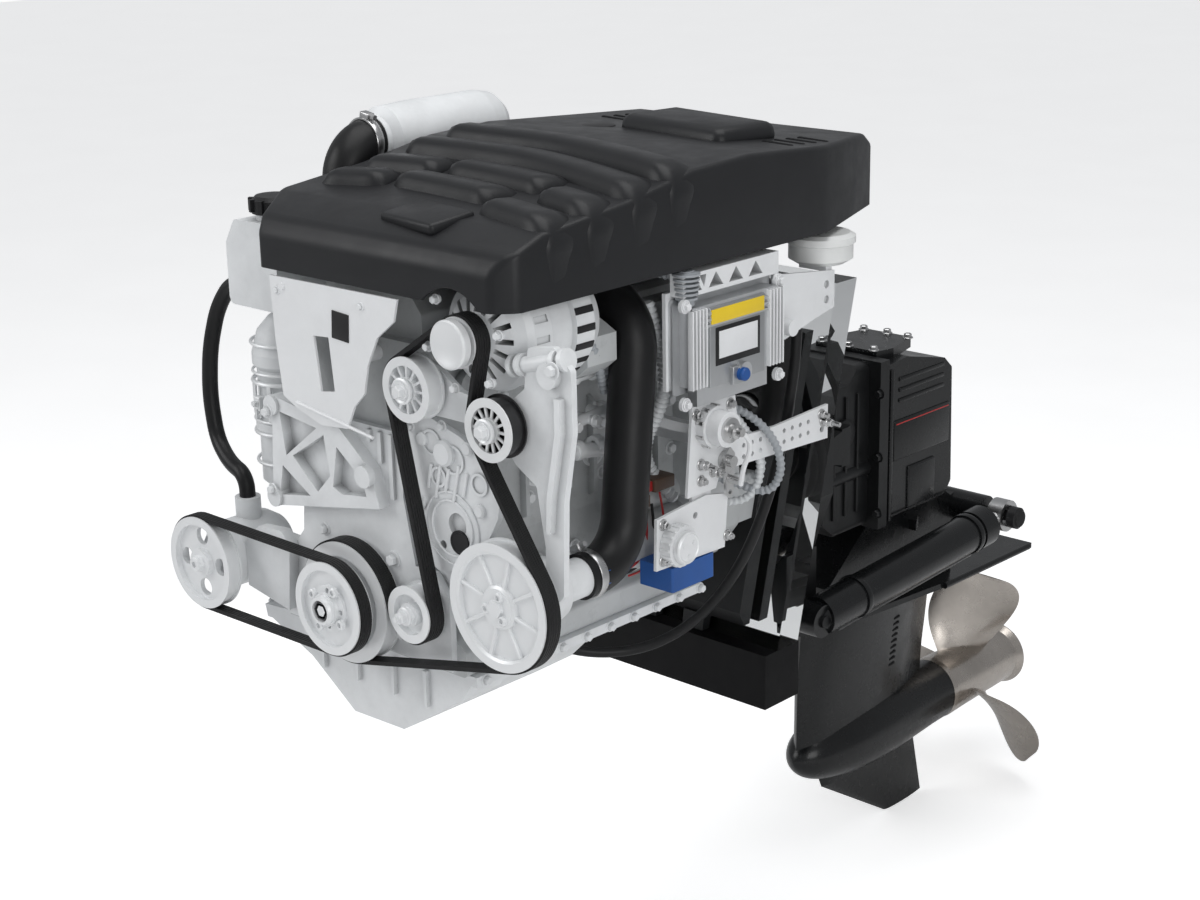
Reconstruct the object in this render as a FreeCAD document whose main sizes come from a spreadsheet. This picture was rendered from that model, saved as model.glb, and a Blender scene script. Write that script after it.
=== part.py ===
"""Marine diesel engine with its sterndrive, in millimetres, +Z up, +Y aft, +X to port.

The crankshaft's axis runs along Y. The origin is the centre of the stand channel's underside.
Every piece is placed from the crankshaft's axis at the front face of the small crank pulley.
"""
import FreeCAD, Part
import math
import os

import Sketcher

Vector = FreeCAD.Vector

SIZES = {
    # The crank's front face, measured from the stand's underside
    "crank_aft": -626, "crank_height": 277,
    # Clearances
    "seat_gap": 0.3, "running_fit": 0.05, "travel_gap": 1.5,
    # Block, head and pan
    "block_front": 66, "block_rear": 500, "block_foot": -62, "block_deck": 218,
    "block_left": 84, "block_right": 100, "skirt_left": 150, "skirt_right": 165, "skirt_rise": 32,
    "block_waist": 60, "flywheel_deep": 62, "rib_thick": 6, "rib_deep": 10, "rib_step": 52,
    "gasket_thick": 2, "head_high": 98, "head_left": 96, "head_right": 126,
    "cam_cover_high": 54, "cam_cover_left": 70, "cam_cover_right": 100, "cam_cover_inset": 14,
    "pan_flange": 12, "pan_deep": 103, "pan_shallow": 42, "pan_step": 300, "pan_rear": 470,
    "pan_left": 206, "pan_right": 172, "pan_nose": 74,
    # Belt drive
    "belt_thick": 5, "belt_wide": 19, "pulley_front": 30, "pulley_wide": 24,
    "small_belt_wide": 15, "small_pulley_front": 4, "small_pulley_wide": 20,
    "flange_lip": 3, "flange_thick": 2, "rim_wall": 7, "web_thick": 6, "hub_radius": 18,
    "post_radius": 9, "bore_skin": 8, "crank_radius": 16, "bolt_across": 18, "bolt_high": 5,
    "damper_radius": 70, "crank_small_radius": 53, "crank_nose_inset": 30,
    "water_x": 254, "water_z": 57, "water_radius": 70,
    "steer_x": -239, "steer_z": 0, "steer_radius": 55,
    "alt_x": 207, "alt_z": 344, "alt_radius": 25,
    "idler_a_x": 124, "idler_a_z": 278, "idler_a_radius": 34,
    "idler_b_x": 250, "idler_b_z": 256, "idler_b_radius": 32,
    "idler_c_x": 111, "idler_c_z": 13, "idler_c_radius": 31,
    # Front covers and brackets
    "timing_front": 58, "guard_front": 28, "sheet_thick": 3, "bracket_front": 42, "bracket_rib": 6,
    # Alternator, pumps and canister
    "alt_body_radius": 64, "alt_body_rear": 196,
    "steer_pump_radius": 42, "steer_pump_front": 32, "steer_pump_rear": 128,
    "pump_front": 58, "pump_rear": 112, "pump_body_radius": 44,
    "canister_x": -206, "canister_y": 134, "canister_radius": 43, "canister_foot": 79,
    "canister_top": 300,
    # Port side
    "side_plate_x": 268, "side_plate": 4, "ecu_x": 262, "ecu_deep": 26,
    "ecu_front": 306, "ecu_long": 176, "ecu_foot": 234, "ecu_high": 112,
    "hose_radius": 27, "cable_radius": 7, "starter_x": 180, "starter_y": 300, "starter_z": 36, "starter_radius": 36,
    "starter_long": 150,
    # Cover
    "cover_foot": 383, "cover_wall": 4, "cover_left": 150, "cover_right": 283,
    "cover_front": 28, "cover_rear": 756, "cover_corner_y": 574, "cover_corner_x": 224,
    "cover_front_left": 122, "cover_nose_top": 440, "cover_mid_top": 474, "cover_high_top": 498,
    "cover_rear_top": 478, "cover_corner": 26, "cover_shelf": 8,
    # Transom board, stand and plates
    "board_y": 688, "board_thick": 44, "board_half": 180, "board_top": 277, "rake_slope": 0.253,
    "channel_half": 180, "channel_wide": 72, "channel_high": 77, "channel_wall": 4,
    "inner_plate_half": 128, "inner_plate_thick": 26, "inner_plate_foot": -176,
    "inner_plate_top": 150, "housing_half": 118, "housing_thick": 18,
    "boot_radius": 64,
    # Drive
    "swivel_y": 818, "ring_half": 108, "ring_high": 168, "ring_deep": 30, "ring_wall": 18,
    "hinge_pin_radius": 9, "hinge_arm": 12, "bell_front": 838, "bell_rear": 1004,
    "drive_half": 76, "drive_top": 100, "drive_rear": 1172,
    "plate_z": -296, "plate_thick": 9, "plate_half": 76, "plate_tail": 1424, "plate_nose": 872,
    "shaft_z": -520, "torpedo_radius": 56, "torpedo_nose": 887, "torpedo_tail": 1250,
    "skeg_foot": -691, "strut_half": 40, "skeg_half": 8,
    "anchor_y": 1270, "anchor_z": -198, "anchor_radius": 8, "eye_clear": 9,
    "ram_y": 786, "ram_z": -224, "ram_x": 112, "ram_radius": 29, "rod_radius": 11,
    "ram_long": 430, "eye_radius": 25,
    "prop_radius": 180, "prop_hub_radius": 49, "prop_hub_long": 205, "prop_pitch": 480,
    "prop_shaft_radius": 15,
}


class Dim:
    """A size together with the expression of sheet cells that gives it."""

    def __init__(self, value, text):
        self.value = float(value)
        self.text = text

    @staticmethod
    def of(other):
        return other if isinstance(other, Dim) else Dim(other, repr(float(other)))

    def _join(self, other, sign, value):
        return Dim(value, f"({self.text} {sign} {other.text})")

    def __add__(self, other):
        other = Dim.of(other)
        return self._join(other, "+", self.value + other.value)

    def __sub__(self, other):
        other = Dim.of(other)
        return self._join(other, "-", self.value - other.value)

    def __mul__(self, other):
        other = Dim.of(other)
        return self._join(other, "*", self.value * other.value)

    def __truediv__(self, other):
        other = Dim.of(other)
        return self._join(other, "/", self.value / other.value)

    def __radd__(self, other):
        return Dim.of(other) + self

    def __rsub__(self, other):
        return Dim.of(other) - self

    def __rmul__(self, other):
        return Dim.of(other) * self

    def __neg__(self):
        return Dim(-self.value, f"(-{self.text})")

    def __float__(self):
        return self.value


class Sheet:
    """The spreadsheet of driving sizes, read by name."""

    def __init__(self, doc, sizes):
        self.sheet = doc.addObject("Spreadsheet::Sheet", "Sizes")
        self.sizes = sizes
        for row, (name, size) in enumerate(sizes.items(), start=1):
            self.sheet.set(f"A{row}", name)
            self.sheet.set(f"B{row}", str(size))
            self.sheet.setAlias(f"B{row}", name)
        doc.recompute()

    def __getattr__(self, name):
        return Dim(self.sizes[name], f"Sizes.{name}")


doc = FreeCAD.newDocument("marine_diesel")
D = Sheet(doc, SIZES)
PIECES = []


def bind(item, name, size):
    """Set a property from a size, and keep it bound to the sheet where it comes from there."""
    if isinstance(size, Dim):
        item.setExpression(name, size.text)
    else:
        item.setExpression(name, repr(float(size)))


def seat(item, x=0, y=0, z=0):
    """Place a sub-part from the crank's axis and front face."""
    bind(item, "Placement.Base.x", Dim.of(x))
    bind(item, "Placement.Base.y", D.crank_aft + y)
    bind(item, "Placement.Base.z", D.crank_height + z)


def circle(x, y, radius):
    """A round loop of a sketch."""
    return ("circle", x, y, radius)


def box_loop(x0, y0, x1, y1):
    """A rectangular loop of a sketch."""
    return [(x0, y0), (x1, y0), (x1, y1), (x0, y1)]


def both_sides(points):
    """Close a half profile with its mirror image about the upright axis."""
    return points + [(-x, y) for x, y in reversed(points) if float(x) != 0]


class Piece:
    """A body of its own: sketches bound to the sheet, and the features made from them."""

    NORMAL = {"XY": 1, "XZ": -1, "YZ": 1}

    def __init__(self, name, x=0, y=0, z=0, keep=True):
        self.name = name
        self.body = doc.addObject("PartDesign::Body", name)
        self.body.Label = name
        self.body.AllowCompound = True
        self.count = 0
        seat(self.body, x, y, z)
        if keep:
            PIECES.append(self.body)

    def _new(self, kind, word):
        self.count += 1
        return self.body.newObject(kind, f"{self.name}_{word}{self.count}")

    def _pin(self, sketch, geometry, point, x, y):
        """Hold a point of the sketch at x, y from the sketch's origin."""
        for kind, size in (("DistanceX", Dim.of(x)), ("DistanceY", Dim.of(y))):
            ahead = size.value >= 0
            ends = (-1, 1, geometry, point) if ahead else (geometry, point, -1, 1)
            index = sketch.addConstraint(Sketcher.Constraint(kind, *ends, abs(size.value)))
            if "Sizes" in size.text:
                sketch.setExpression(f"Constraints[{index}]", (size if ahead else -size).text)

    def sketch(self, plane, loops, level=0):
        """Draw closed loops on an origin plane, moved along that plane's axis to a level."""
        sketch = self._new("Sketcher::SketchObject", "sketch")
        planes = self.body.Origin.OriginFeatures
        sketch.AttachmentSupport = (next(p for p in planes if p.Role == plane + "_Plane"), "")
        sketch.MapMode = "FlatFace"
        bind(sketch, "AttachmentOffset.Base.z", Dim.of(level) * self.NORMAL[plane])
        for loop in loops:
            if loop[0] == "circle":
                _, x, y, radius = loop
                centre = Vector(float(x), float(y), 0)
                index = sketch.addGeometry(Part.Circle(centre, Vector(0, 0, 1), float(radius)), False)
                self._pin(sketch, index, 3, x, y)
                rule = sketch.addConstraint(Sketcher.Constraint("Radius", index, float(radius)))
                if isinstance(radius, Dim):
                    sketch.setExpression(f"Constraints[{rule}]", radius.text)
                continue
            first = sketch.GeometryCount
            corners = [Vector(float(x), float(y), 0) for x, y in loop]
            for start, end in zip(corners, corners[1:] + corners[:1]):
                sketch.addGeometry(Part.LineSegment(start, end), False)
            for step, (x, y) in enumerate(loop):
                after = first + (step + 1) % len(loop)
                sketch.addConstraint(Sketcher.Constraint("Coincident", first + step, 2, after, 1))
                self._pin(sketch, first + step, 1, x, y)
        return sketch

    def pad(self, plane, loops, low, high, taper=0):
        """Add material between two levels of the plane's axis."""
        sketch = self.sketch(plane, loops, low)
        pad = self._new("PartDesign::Pad", "pad")
        pad.Profile = sketch
        pad.Reversed = self.NORMAL[plane] < 0
        bind(pad, "Length", Dim.of(high) - low)
        if taper:
            pad.TaperAngle = taper
        return pad

    def pocket(self, plane, loops, low, high):
        """Cut material between two levels of the plane's axis."""
        forward = self.NORMAL[plane] > 0
        sketch = self.sketch(plane, loops, high if forward else low)
        pocket = self._new("PartDesign::Pocket", "pocket")
        pocket.Profile = sketch
        bind(pocket, "Length", Dim.of(high) - low)
        return pocket

    def turn(self, plane, loop, axis="V_Axis", cut=False):
        """Revolve a half profile about an axis of its sketch, or cut with it."""
        sketch = self.sketch(plane, [loop])
        kind = "PartDesign::Groove" if cut else "PartDesign::Revolution"
        turned = self._new(kind, "turn")
        turned.Profile = sketch
        turned.ReferenceAxis = (sketch, [axis])
        turned.Angle = 360
        return turned

    def around(self, feature, copies, role):
        """Repeat a feature evenly about an axis of the body."""
        pattern = self._new("PartDesign::PolarPattern", "around")
        pattern.Originals = [feature]
        lines = self.body.Origin.OriginFeatures
        pattern.Axis = (next(p for p in lines if p.Role == role + "_Axis"), [""])
        pattern.Angle = 360
        pattern.Occurrences = copies
        self.body.Tip = pattern
        return pattern

    def row(self, feature, copies, length, role):
        """Repeat a feature along an axis of the body."""
        pattern = self._new("PartDesign::LinearPattern", "row")
        pattern.Originals = [feature]
        lines = self.body.Origin.OriginFeatures
        pattern.Direction = (next(p for p in lines if p.Role == role + "_Axis"), [""])
        bind(pattern, "Length", length)
        pattern.Occurrences = copies
        self.body.Tip = pattern
        return pattern

    def soften(self, radius, wanted):
        """Round the edges that the test picks on the last feature."""
        doc.recompute()
        tip = self.body.Tip
        names = [f"Edge{n}" for n, edge in enumerate(tip.Shape.Edges, start=1) if wanted(edge)]
        if names:
            fillet = self._new("PartDesign::Fillet", "fillet")
            fillet.Base = (tip, names)
            bind(fillet, "Radius", radius)
            self.body.Tip = fillet


def along(axis, least=1):
    """A test that picks the straight edges along an axis, at least so long."""
    way = {"X": Vector(1, 0, 0), "Y": Vector(0, 1, 0), "Z": Vector(0, 0, 1)}[axis]

    def test(edge):
        if edge.Curve.TypeId != "Part::GeomLine" or edge.Length < float(least):
            return False
        start, end = (v.Point for v in edge.Vertexes)
        return abs((end - start).normalize().dot(way)) > 0.999

    return test


def shaped(name, shape, x=0, y=0, z=0):
    """A sub-part whose form is made by Part's own functions."""
    item = doc.addObject("Part::Feature", name)
    item.Label = name
    item.Shape = shape
    seat(item, x, y, z)
    PIECES.append(item)
    return item


def joined(kind, name, first, second, x=0, y=0, z=0):
    """A boolean of two objects, kept as a sub-part."""
    item = doc.addObject(kind, name)
    item.Base = first
    item.Tool = second
    item.Label = name
    PIECES.append(item)
    return item


def hexagon(x, y, across):
    """A six-sided loop, as on a bolt's head."""
    reach = across / 2
    half = reach * math.tan(math.pi / 6)
    tip = reach / math.cos(math.pi / 6)
    return [(x + tip, y + 0), (x + half, y + reach), (x - half, y + reach),
            (x - tip, y + 0), (x - half, y - reach), (x + half, y - reach)]


def make_pulley(name, x, z, radius, front, wide, hub, windows=0, window=0, fins=0, bore=None):
    """A flanged pulley: rim, web and hub, with a blind bore for its post at the back."""
    wheel = Piece(name, x, 0, z)
    back = front + wide
    rim = radius - D.rim_wall
    lip = radius + D.flange_lip
    web = front + wide / 2 - D.web_thick / 2
    bore = (D.post_radius if bore is None else bore) + D.running_fit
    half = [(0, front), (hub, front), (hub, web), (rim, web), (rim, front), (lip, front),
            (lip, front + D.flange_thick), (radius, front + D.flange_thick),
            (radius, back - D.flange_thick), (lip, back - D.flange_thick), (lip, back),
            (rim, back), (rim, web + D.web_thick), (hub, web + D.web_thick), (hub, back),
            (bore, back), (bore, front + D.bore_skin), (0, front + D.bore_skin)]
    wheel.turn("XY", half)
    middle = (hub + rim) / 2
    if windows:
        hole = wheel.pocket("XZ", [circle(middle, 0, window)], web, web + D.web_thick)
        wheel.around(hole, windows, "Y")
    if fins:
        thick = D.web_thick / 4
        fin = wheel.pad("XZ", [box_loop(hub - 1, -thick, rim + 1, thick)], front + 2, web + 1)
        wheel.around(fin, fins, "Y")
    wheel.pad("XZ", [hexagon(0, 0, D.bolt_across)], front - D.bolt_high, front)
    return wheel


def belt_line(stations, offset):
    """The closed line of a belt round its pulleys, as tangent lines and arcs.

    A station is x, z, radius and the side that touches: 1 for the inside, -1 for the back.
    """
    lines = []
    for here, there in zip(stations, stations[1:] + stations[:1]):
        (x0, z0, r0, s0), (x1, z1, r1, s1) = here, there
        reach = math.hypot(x1 - x0, z1 - z0)
        heading = math.atan2(z1 - z0, x1 - x0)
        lean = math.asin((s0 * (r0 + s0 * offset) - s1 * (r1 + s1 * offset)) / reach)
        normal = heading - math.pi / 2 + lean
        across = Vector(math.cos(normal), 0, math.sin(normal))
        start = Vector(x0, 0, z0) + across * (s0 * (r0 + s0 * offset))
        end = Vector(x1, 0, z1) + across * (s1 * (r1 + s1 * offset))
        lines.append((start, end))
    edges = []
    for index, (start, end) in enumerate(lines):
        edges.append(Part.LineSegment(start, end).toShape())
        x, z, radius, side = stations[(index + 1) % len(stations)]
        leave = lines[(index + 1) % len(lines)][0]
        centre = Vector(x, 0, z)
        first, last = end - centre, leave - centre
        sweep = math.atan2(last.z, last.x) - math.atan2(first.z, first.x)
        sweep = sweep % (2 * math.pi) if side > 0 else -((-sweep) % (2 * math.pi))
        middle = math.atan2(first.z, first.x) + sweep / 2
        crown = centre + Vector(math.cos(middle), 0, math.sin(middle)) * (radius + side * offset)
        edges.append(Part.Arc(end, crown, leave).toShape())
    return Part.Wire(edges)


def make_belt(name, stations, front, wide):
    """A flat belt that lies a hair clear of every pulley that it passes."""
    gap, thick = float(D.seat_gap), float(D.belt_thick)
    places = []
    for x, z, radius, side in stations:
        clear = float(radius) + gap if side > 0 else float(radius) + gap + thick
        places.append((float(x), float(z), clear, side))
    depth = Vector(0, float(wide), 0)
    outer, inner = (Part.Face(belt_line(places, way)).extrude(depth) for way in (thick, 0))
    shaped(name, outer.cut(inner), 0, front, 0)


def make_belt_drive():
    """The front pulleys, the ribbed belt round six of them and the steering pump's belt."""
    front, wide = D.pulley_front, D.pulley_wide
    low, small = D.small_pulley_front, D.small_pulley_wide
    make_pulley("water_pump_pulley", D.water_x, D.water_z, D.water_radius, front, wide,
                D.hub_radius + 4, windows=8, window=9)
    make_pulley("alternator_pulley", D.alt_x, D.alt_z, D.alt_radius, front, wide, D.hub_radius - 4)
    make_pulley("idler_upper", D.idler_a_x, D.idler_a_z, D.idler_a_radius, front, wide,
                D.hub_radius - 4, fins=12)
    make_pulley("tensioner_pulley", D.idler_b_x, D.idler_b_z, D.idler_b_radius, front, wide,
                D.hub_radius - 4, fins=14)
    make_pulley("idler_lower", D.idler_c_x, D.idler_c_z, D.idler_c_radius, front, wide,
                D.hub_radius - 4)
    make_pulley("steering_pump_pulley", D.steer_x, D.steer_z, D.steer_radius, low, small,
                D.hub_radius, windows=4, window=11)
    make_belt("ribbed_belt", [
        (0, 0, D.damper_radius, 1),
        (D.water_x, D.water_z, D.water_radius, 1),
        (D.idler_b_x, D.idler_b_z, D.idler_b_radius, -1),
        (D.alt_x, D.alt_z, D.alt_radius, 1),
        (D.idler_a_x, D.idler_a_z, D.idler_a_radius, 1),
        (D.idler_c_x, D.idler_c_z, D.idler_c_radius, -1),
    ], front + (wide - D.belt_wide) / 2, D.belt_wide)
    make_belt("steering_belt", [
        (0, 0, D.crank_small_radius, 1),
        (D.steer_x, D.steer_z, D.steer_radius, 1),
    ], low + (small - D.small_belt_wide) / 2, D.small_belt_wide)


def make_crank():
    """The crankshaft's nose with the damper and the small pulley bolted on it."""
    front, back = D.pulley_front, D.pulley_front + D.pulley_wide
    low, seat_face = D.small_pulley_front, D.small_pulley_front + D.small_pulley_wide
    hub = D.hub_radius + 10
    bore = D.crank_radius + D.running_fit
    shaft = Piece("crankshaft")
    shaft.turn("XY", [(0, low + D.bore_skin + 1), (D.crank_radius, low + D.bore_skin + 1),
                      (D.crank_radius, D.block_front + D.crank_nose_inset),
                      (0, D.block_front + D.crank_nose_inset)])
    damper = Piece("crank_damper")
    rim, lip = D.damper_radius - D.rim_wall * 2, D.damper_radius + D.flange_lip
    web = front + 4
    damper.turn("XY", [(bore, seat_face), (hub, seat_face), (hub, web), (rim, web), (rim, front),
                       (lip, front), (lip, front + D.flange_thick),
                       (D.damper_radius, front + D.flange_thick),
                       (D.damper_radius, back - D.flange_thick), (lip, back - D.flange_thick),
                       (lip, back), (rim, back), (rim, web + D.web_thick),
                       (hub, web + D.web_thick), (hub, back), (bore, back)])
    small = Piece("crank_pulley")
    rim, lip = D.crank_small_radius - D.rim_wall, D.crank_small_radius + D.flange_lip
    web = low + 6
    small.turn("XY", [(0, low - 4), (D.crank_radius + 4, low - 4), (D.crank_radius + 4, low + 2),
                      (hub, low + 2), (hub, web), (rim, web), (rim, low), (lip, low),
                      (lip, low + D.flange_thick), (D.crank_small_radius, low + D.flange_thick),
                      (D.crank_small_radius, seat_face - D.flange_thick),
                      (lip, seat_face - D.flange_thick), (lip, seat_face), (rim, seat_face),
                      (rim, web + D.web_thick), (hub, web + D.web_thick), (hub, seat_face),
                      (bore, seat_face), (bore, low + D.bore_skin), (0, low + D.bore_skin)])
    ring = small.pocket("XZ", [circle(hub - 6, 0, 3.2)], low, low + 6)
    small.around(ring, 4, "Y")
    small.pad("XZ", [hexagon(0, 0, D.bolt_across)], low - 4 - D.bolt_high, low - 4)


def make_block():
    """The cast block: skirt, waist, deck and ribs, with the crankshaft's front bore."""
    block = Piece("engine_block")
    foot, deck = D.block_foot, D.block_deck
    rise, waist = D.block_foot + D.skirt_rise, D.block_waist
    wall = [(-D.skirt_left, foot), (D.skirt_right, foot), (D.skirt_right, rise),
            (D.block_right + 18, 0), (D.block_right, waist), (D.block_right, deck),
            (-D.block_left, deck), (-D.block_left, waist), (-D.block_left - 22, 0),
            (-D.skirt_left, rise)]
    block.pad("XZ", [wall], D.block_front, D.block_rear)
    block.soften(6, along("Y"))
    rib_low, rib_high = D.block_front + 40, D.block_front + 40 + D.rib_thick
    for side, edge in ((-1, D.block_left), (1, D.block_right)):
        inner, outer = side * (edge - 2), side * (edge + D.rib_deep)
        rib = block.pad("XZ", [[(inner, waist + 12), (outer, waist + 18), (outer, deck - 26),
                                (inner, deck - 16)]], rib_low, rib_high)
        block.row(rib, 7, D.block_rear - D.block_front - 80, "Y")
    block.pocket("XZ", [circle(0, 0, D.crank_radius + D.running_fit)], D.block_front,
                 D.block_front + D.crank_nose_inset + 2)
    bell = Piece("flywheel_housing")
    rear = D.block_rear + D.flywheel_deep
    bell.pad("XZ", [[(-118, foot), (118, foot), (158, -10), (158, 96), (118, 158), (-112, 158),
                     (-152, 96), (-152, -10)]], D.block_rear, rear)
    bell.soften(16, along("Y"))
    bell.pad("XZ", [circle(0, 0, 44)], rear - 1, rear + 58)
    plate = D.board_y - D.board_thick / 2 - D.inner_plate_thick
    for side in (-1, 1):
        low_x, high_x = (92, 122) if side > 0 else (-122, -92)
        bell.pad("YZ", [[(rear - 1, -30), (raked(plate, -30), -30), (raked(plate, 30), 30),
                         (rear - 1, 42)]], low_x, high_x)


def make_head():
    """The head with its gasket under it, and the cam cover, stacked on the deck."""
    deck = D.block_deck
    front, rear = D.block_front, D.block_rear
    top = deck + D.gasket_thick
    head = Piece("cylinder_head")
    head.pad("XY", [box_loop(-D.head_left, front, D.head_right, rear)], top, top + D.head_high)
    head.soften(8, along("Z"))
    head.pad("XY", [box_loop(-D.block_left, front, D.block_right, rear)], deck, top + 0.5)
    step = (rear - front) / 4
    port = head.pad("YZ", [circle(front + step / 2, top + 44, 21)], D.head_right - 1,
                    D.head_right + 12)
    head.row(port, 4, step * 3, "Y")
    x, y, z = MAIN_HOSE[-1]
    neck = D.cam_cover_right + 2
    head.pad("YZ", [box_loop(y - 28, top + D.head_high - 8, y + 28, z)], neck, D.head_right - 4)
    head.pad("YZ", [circle(y, z, 25)], neck, x)
    cover = Piece("cam_cover")
    low = top + D.head_high
    inset = D.cam_cover_inset
    cover.pad("XZ", [[(-D.cam_cover_left, low), (D.cam_cover_right, low),
                      (D.cam_cover_right, low + 30), (D.cam_cover_right - 20, low + D.cam_cover_high),
                      (-D.cam_cover_left + 20, low + D.cam_cover_high),
                      (-D.cam_cover_left, low + 30)]], front + inset, rear - inset)
    cover.soften(6, along("Y"))
    bead = cover.pad("XY", [circle(12, front + 70, 20)], low + D.cam_cover_high - 1,
                     low + D.cam_cover_high + 8)
    cover.row(bead, 4, step * 3, "Y")
    ceiling = D.cover_wall + D.seat_gap
    for x in (-50, 62):
        cover.pad("XY", [circle(x, 190, 8)], low + D.cam_cover_high - 1,
                  D.cover_mid_top - ceiling - 3.1)
        cover.pad("XY", [circle(x, 422, 8)], low + D.cam_cover_high - 1,
                  D.cover_high_top - ceiling - 0.4)
    cover.pocket("XY", [circle(12, front + 70, 12)], low + D.cam_cover_high - 20,
                 low + D.cam_cover_high + 8)


def make_pan():
    """The cast oil pan: a wide flange, a deep sump at the front and a shallow rear."""
    pan = Piece("oil_pan")
    top, nose = D.block_foot, D.pan_nose
    flange = top - D.pan_flange
    left, right, deep = D.pan_left, D.pan_right, D.block_foot - D.pan_deep
    pan.pad("XZ", [[(-left, top - 4), (-D.skirt_left, top), (right, top), (right, flange),
                    (-left + 4, flange - 8)]], nose, nose + 60)
    pan.pad("XZ", [[(-D.skirt_left, top), (right, top), (right, flange),
                    (-D.skirt_left, flange)]], nose + 60, D.pan_rear)
    pan.pad("XZ", [[(-left + 4, flange - 4), (-left + 8, flange), (right - 10, flange),
                    (right - 24, flange - 22), (104, deep + 40), (44, deep + 2), (-44, deep),
                    (-118, deep + 52)]], nose, nose + 60)
    pan.pad("XZ", [[(-D.skirt_left + 14, flange), (right - 16, flange), (104, deep + 40),
                    (44, deep + 2), (-44, deep), (-104, deep + 44)]], nose + 60, D.pan_step)
    pan.pad("XZ", [[(-D.skirt_left + 14, flange), (right - 16, flange),
                    (110, top - D.pan_shallow), (-106, top - D.pan_shallow)]],
            D.pan_step, D.pan_rear)
    for x in (-92, -30, 34, 90):
        pan.pad("XZ", [[(x - 3, flange), (x + 3, flange), (x + 2, deep + 46), (x - 2, deep + 46)]],
                nose - 6, nose + 1)


def make_front():
    """Timing cover, lower front plate, guard plate and the ribbed accessory bracket."""
    face, back = D.timing_front, D.block_front
    cover = Piece("timing_cover")
    outline = [(92, 238), (130, 242), (178, 228), (226, 204), (238, 176), (232, 146), (206, 100),
               (186, 74), (134, 64), (100, 84), (86, 140)]
    cover.pad("XZ", [outline], face, back)
    cover.soften(7, along("Y"))
    cover.pocket("XZ", [circle(168, 125, 14)], face, face + 6)
    cover.pocket("XZ", [circle(144, 97, 5)], face, face + 6)
    for x, z, r in ((132, 214, 15), (166, 200, 17), (142, 176, 12), (206, 180, 13)):
        cover.pad("XZ", [circle(x, z, r), circle(x, z, r - 3)], face - 2, face)
    plate = Piece("front_plate")
    plate.pad("XZ", [[(-100, 60), (-134, 20), (-140, -56), (150, -56), (150, 30), (128, 58),
                      (96, 60), (80, 140), (86, 214), (-80, 214), (-92, 140)],
                     circle(0, 0, D.crank_radius + 10)], face, back)
    for x, low in ((30, 196), (48, 174), (66, 134)):
        plate.pad("XZ", [box_loop(x - 3, low, x + 3, 210)], face - 4, face)
    post_low = D.pulley_front + D.bore_skin + 1
    plate.pad("XZ", [circle(D.idler_c_x, D.idler_c_z, D.post_radius)], post_low, face)
    side = D.steer_x + D.steer_pump_radius + D.seat_gap
    plate.pad("XZ", [[(side, 26), (side, -30), (-120, -44), (-112, 40), (-126, 56),
                      (-170, 52)]], D.steer_pump_front + 12, face)
    plate.pad("XZ", [[(side, 22), (side, -28), (-152, -28), (-152, 20)]], face, 112)
    guard = Piece("front_guard")
    near, far = D.guard_front, D.guard_front + D.sheet_thick
    guard.pad("XZ", [[(-96, 376), (-92, 300), (-84, 236), (-64, 226), (-20, 212), (26, 216),
                      (40, 244), (58, 262), (66, 296), (84, 330), (112, 352), (119, 378)],
                     [(-24, 316), (2, 318), (8, 256), (-16, 252)]], near, far)
    lug = D.head_left - 14
    guard.pad("XZ", [circle(-lug, 300, 9), circle(40, 300, 9)], far, back)
    bracket = Piece("accessory_bracket")
    low, high = D.bracket_front, face
    rib = D.bracket_rib
    bracket.pad("XZ", [[(-124, 226), (-134, 88), (58, 124), (44, 168), (-6, 208)],
                       [(-112, 208), (-104, 156), (-46, 200)],
                       [(-112, 142), (-120, 104), (-64, 114)],
                       [(-92, 158), (-50, 122), (-26, 146), (-34, 194)],
                       [(-22, 134), (-6, 128), (36, 134), (30, 152), (-12, 184)]], low, high)
    bracket.pad("XZ", [[(-124, 226), (-134, 88), (58, 124), (44, 168), (-6, 208)]],
                high - rib / 2, high)
    bracket.pad("XZ", [circle(39, 160, 13)], low - 8, low + 1)
    bracket.pad("XZ", [circle(-124, 214, 12), circle(-128, 100, 12)], low - 4, high)


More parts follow.
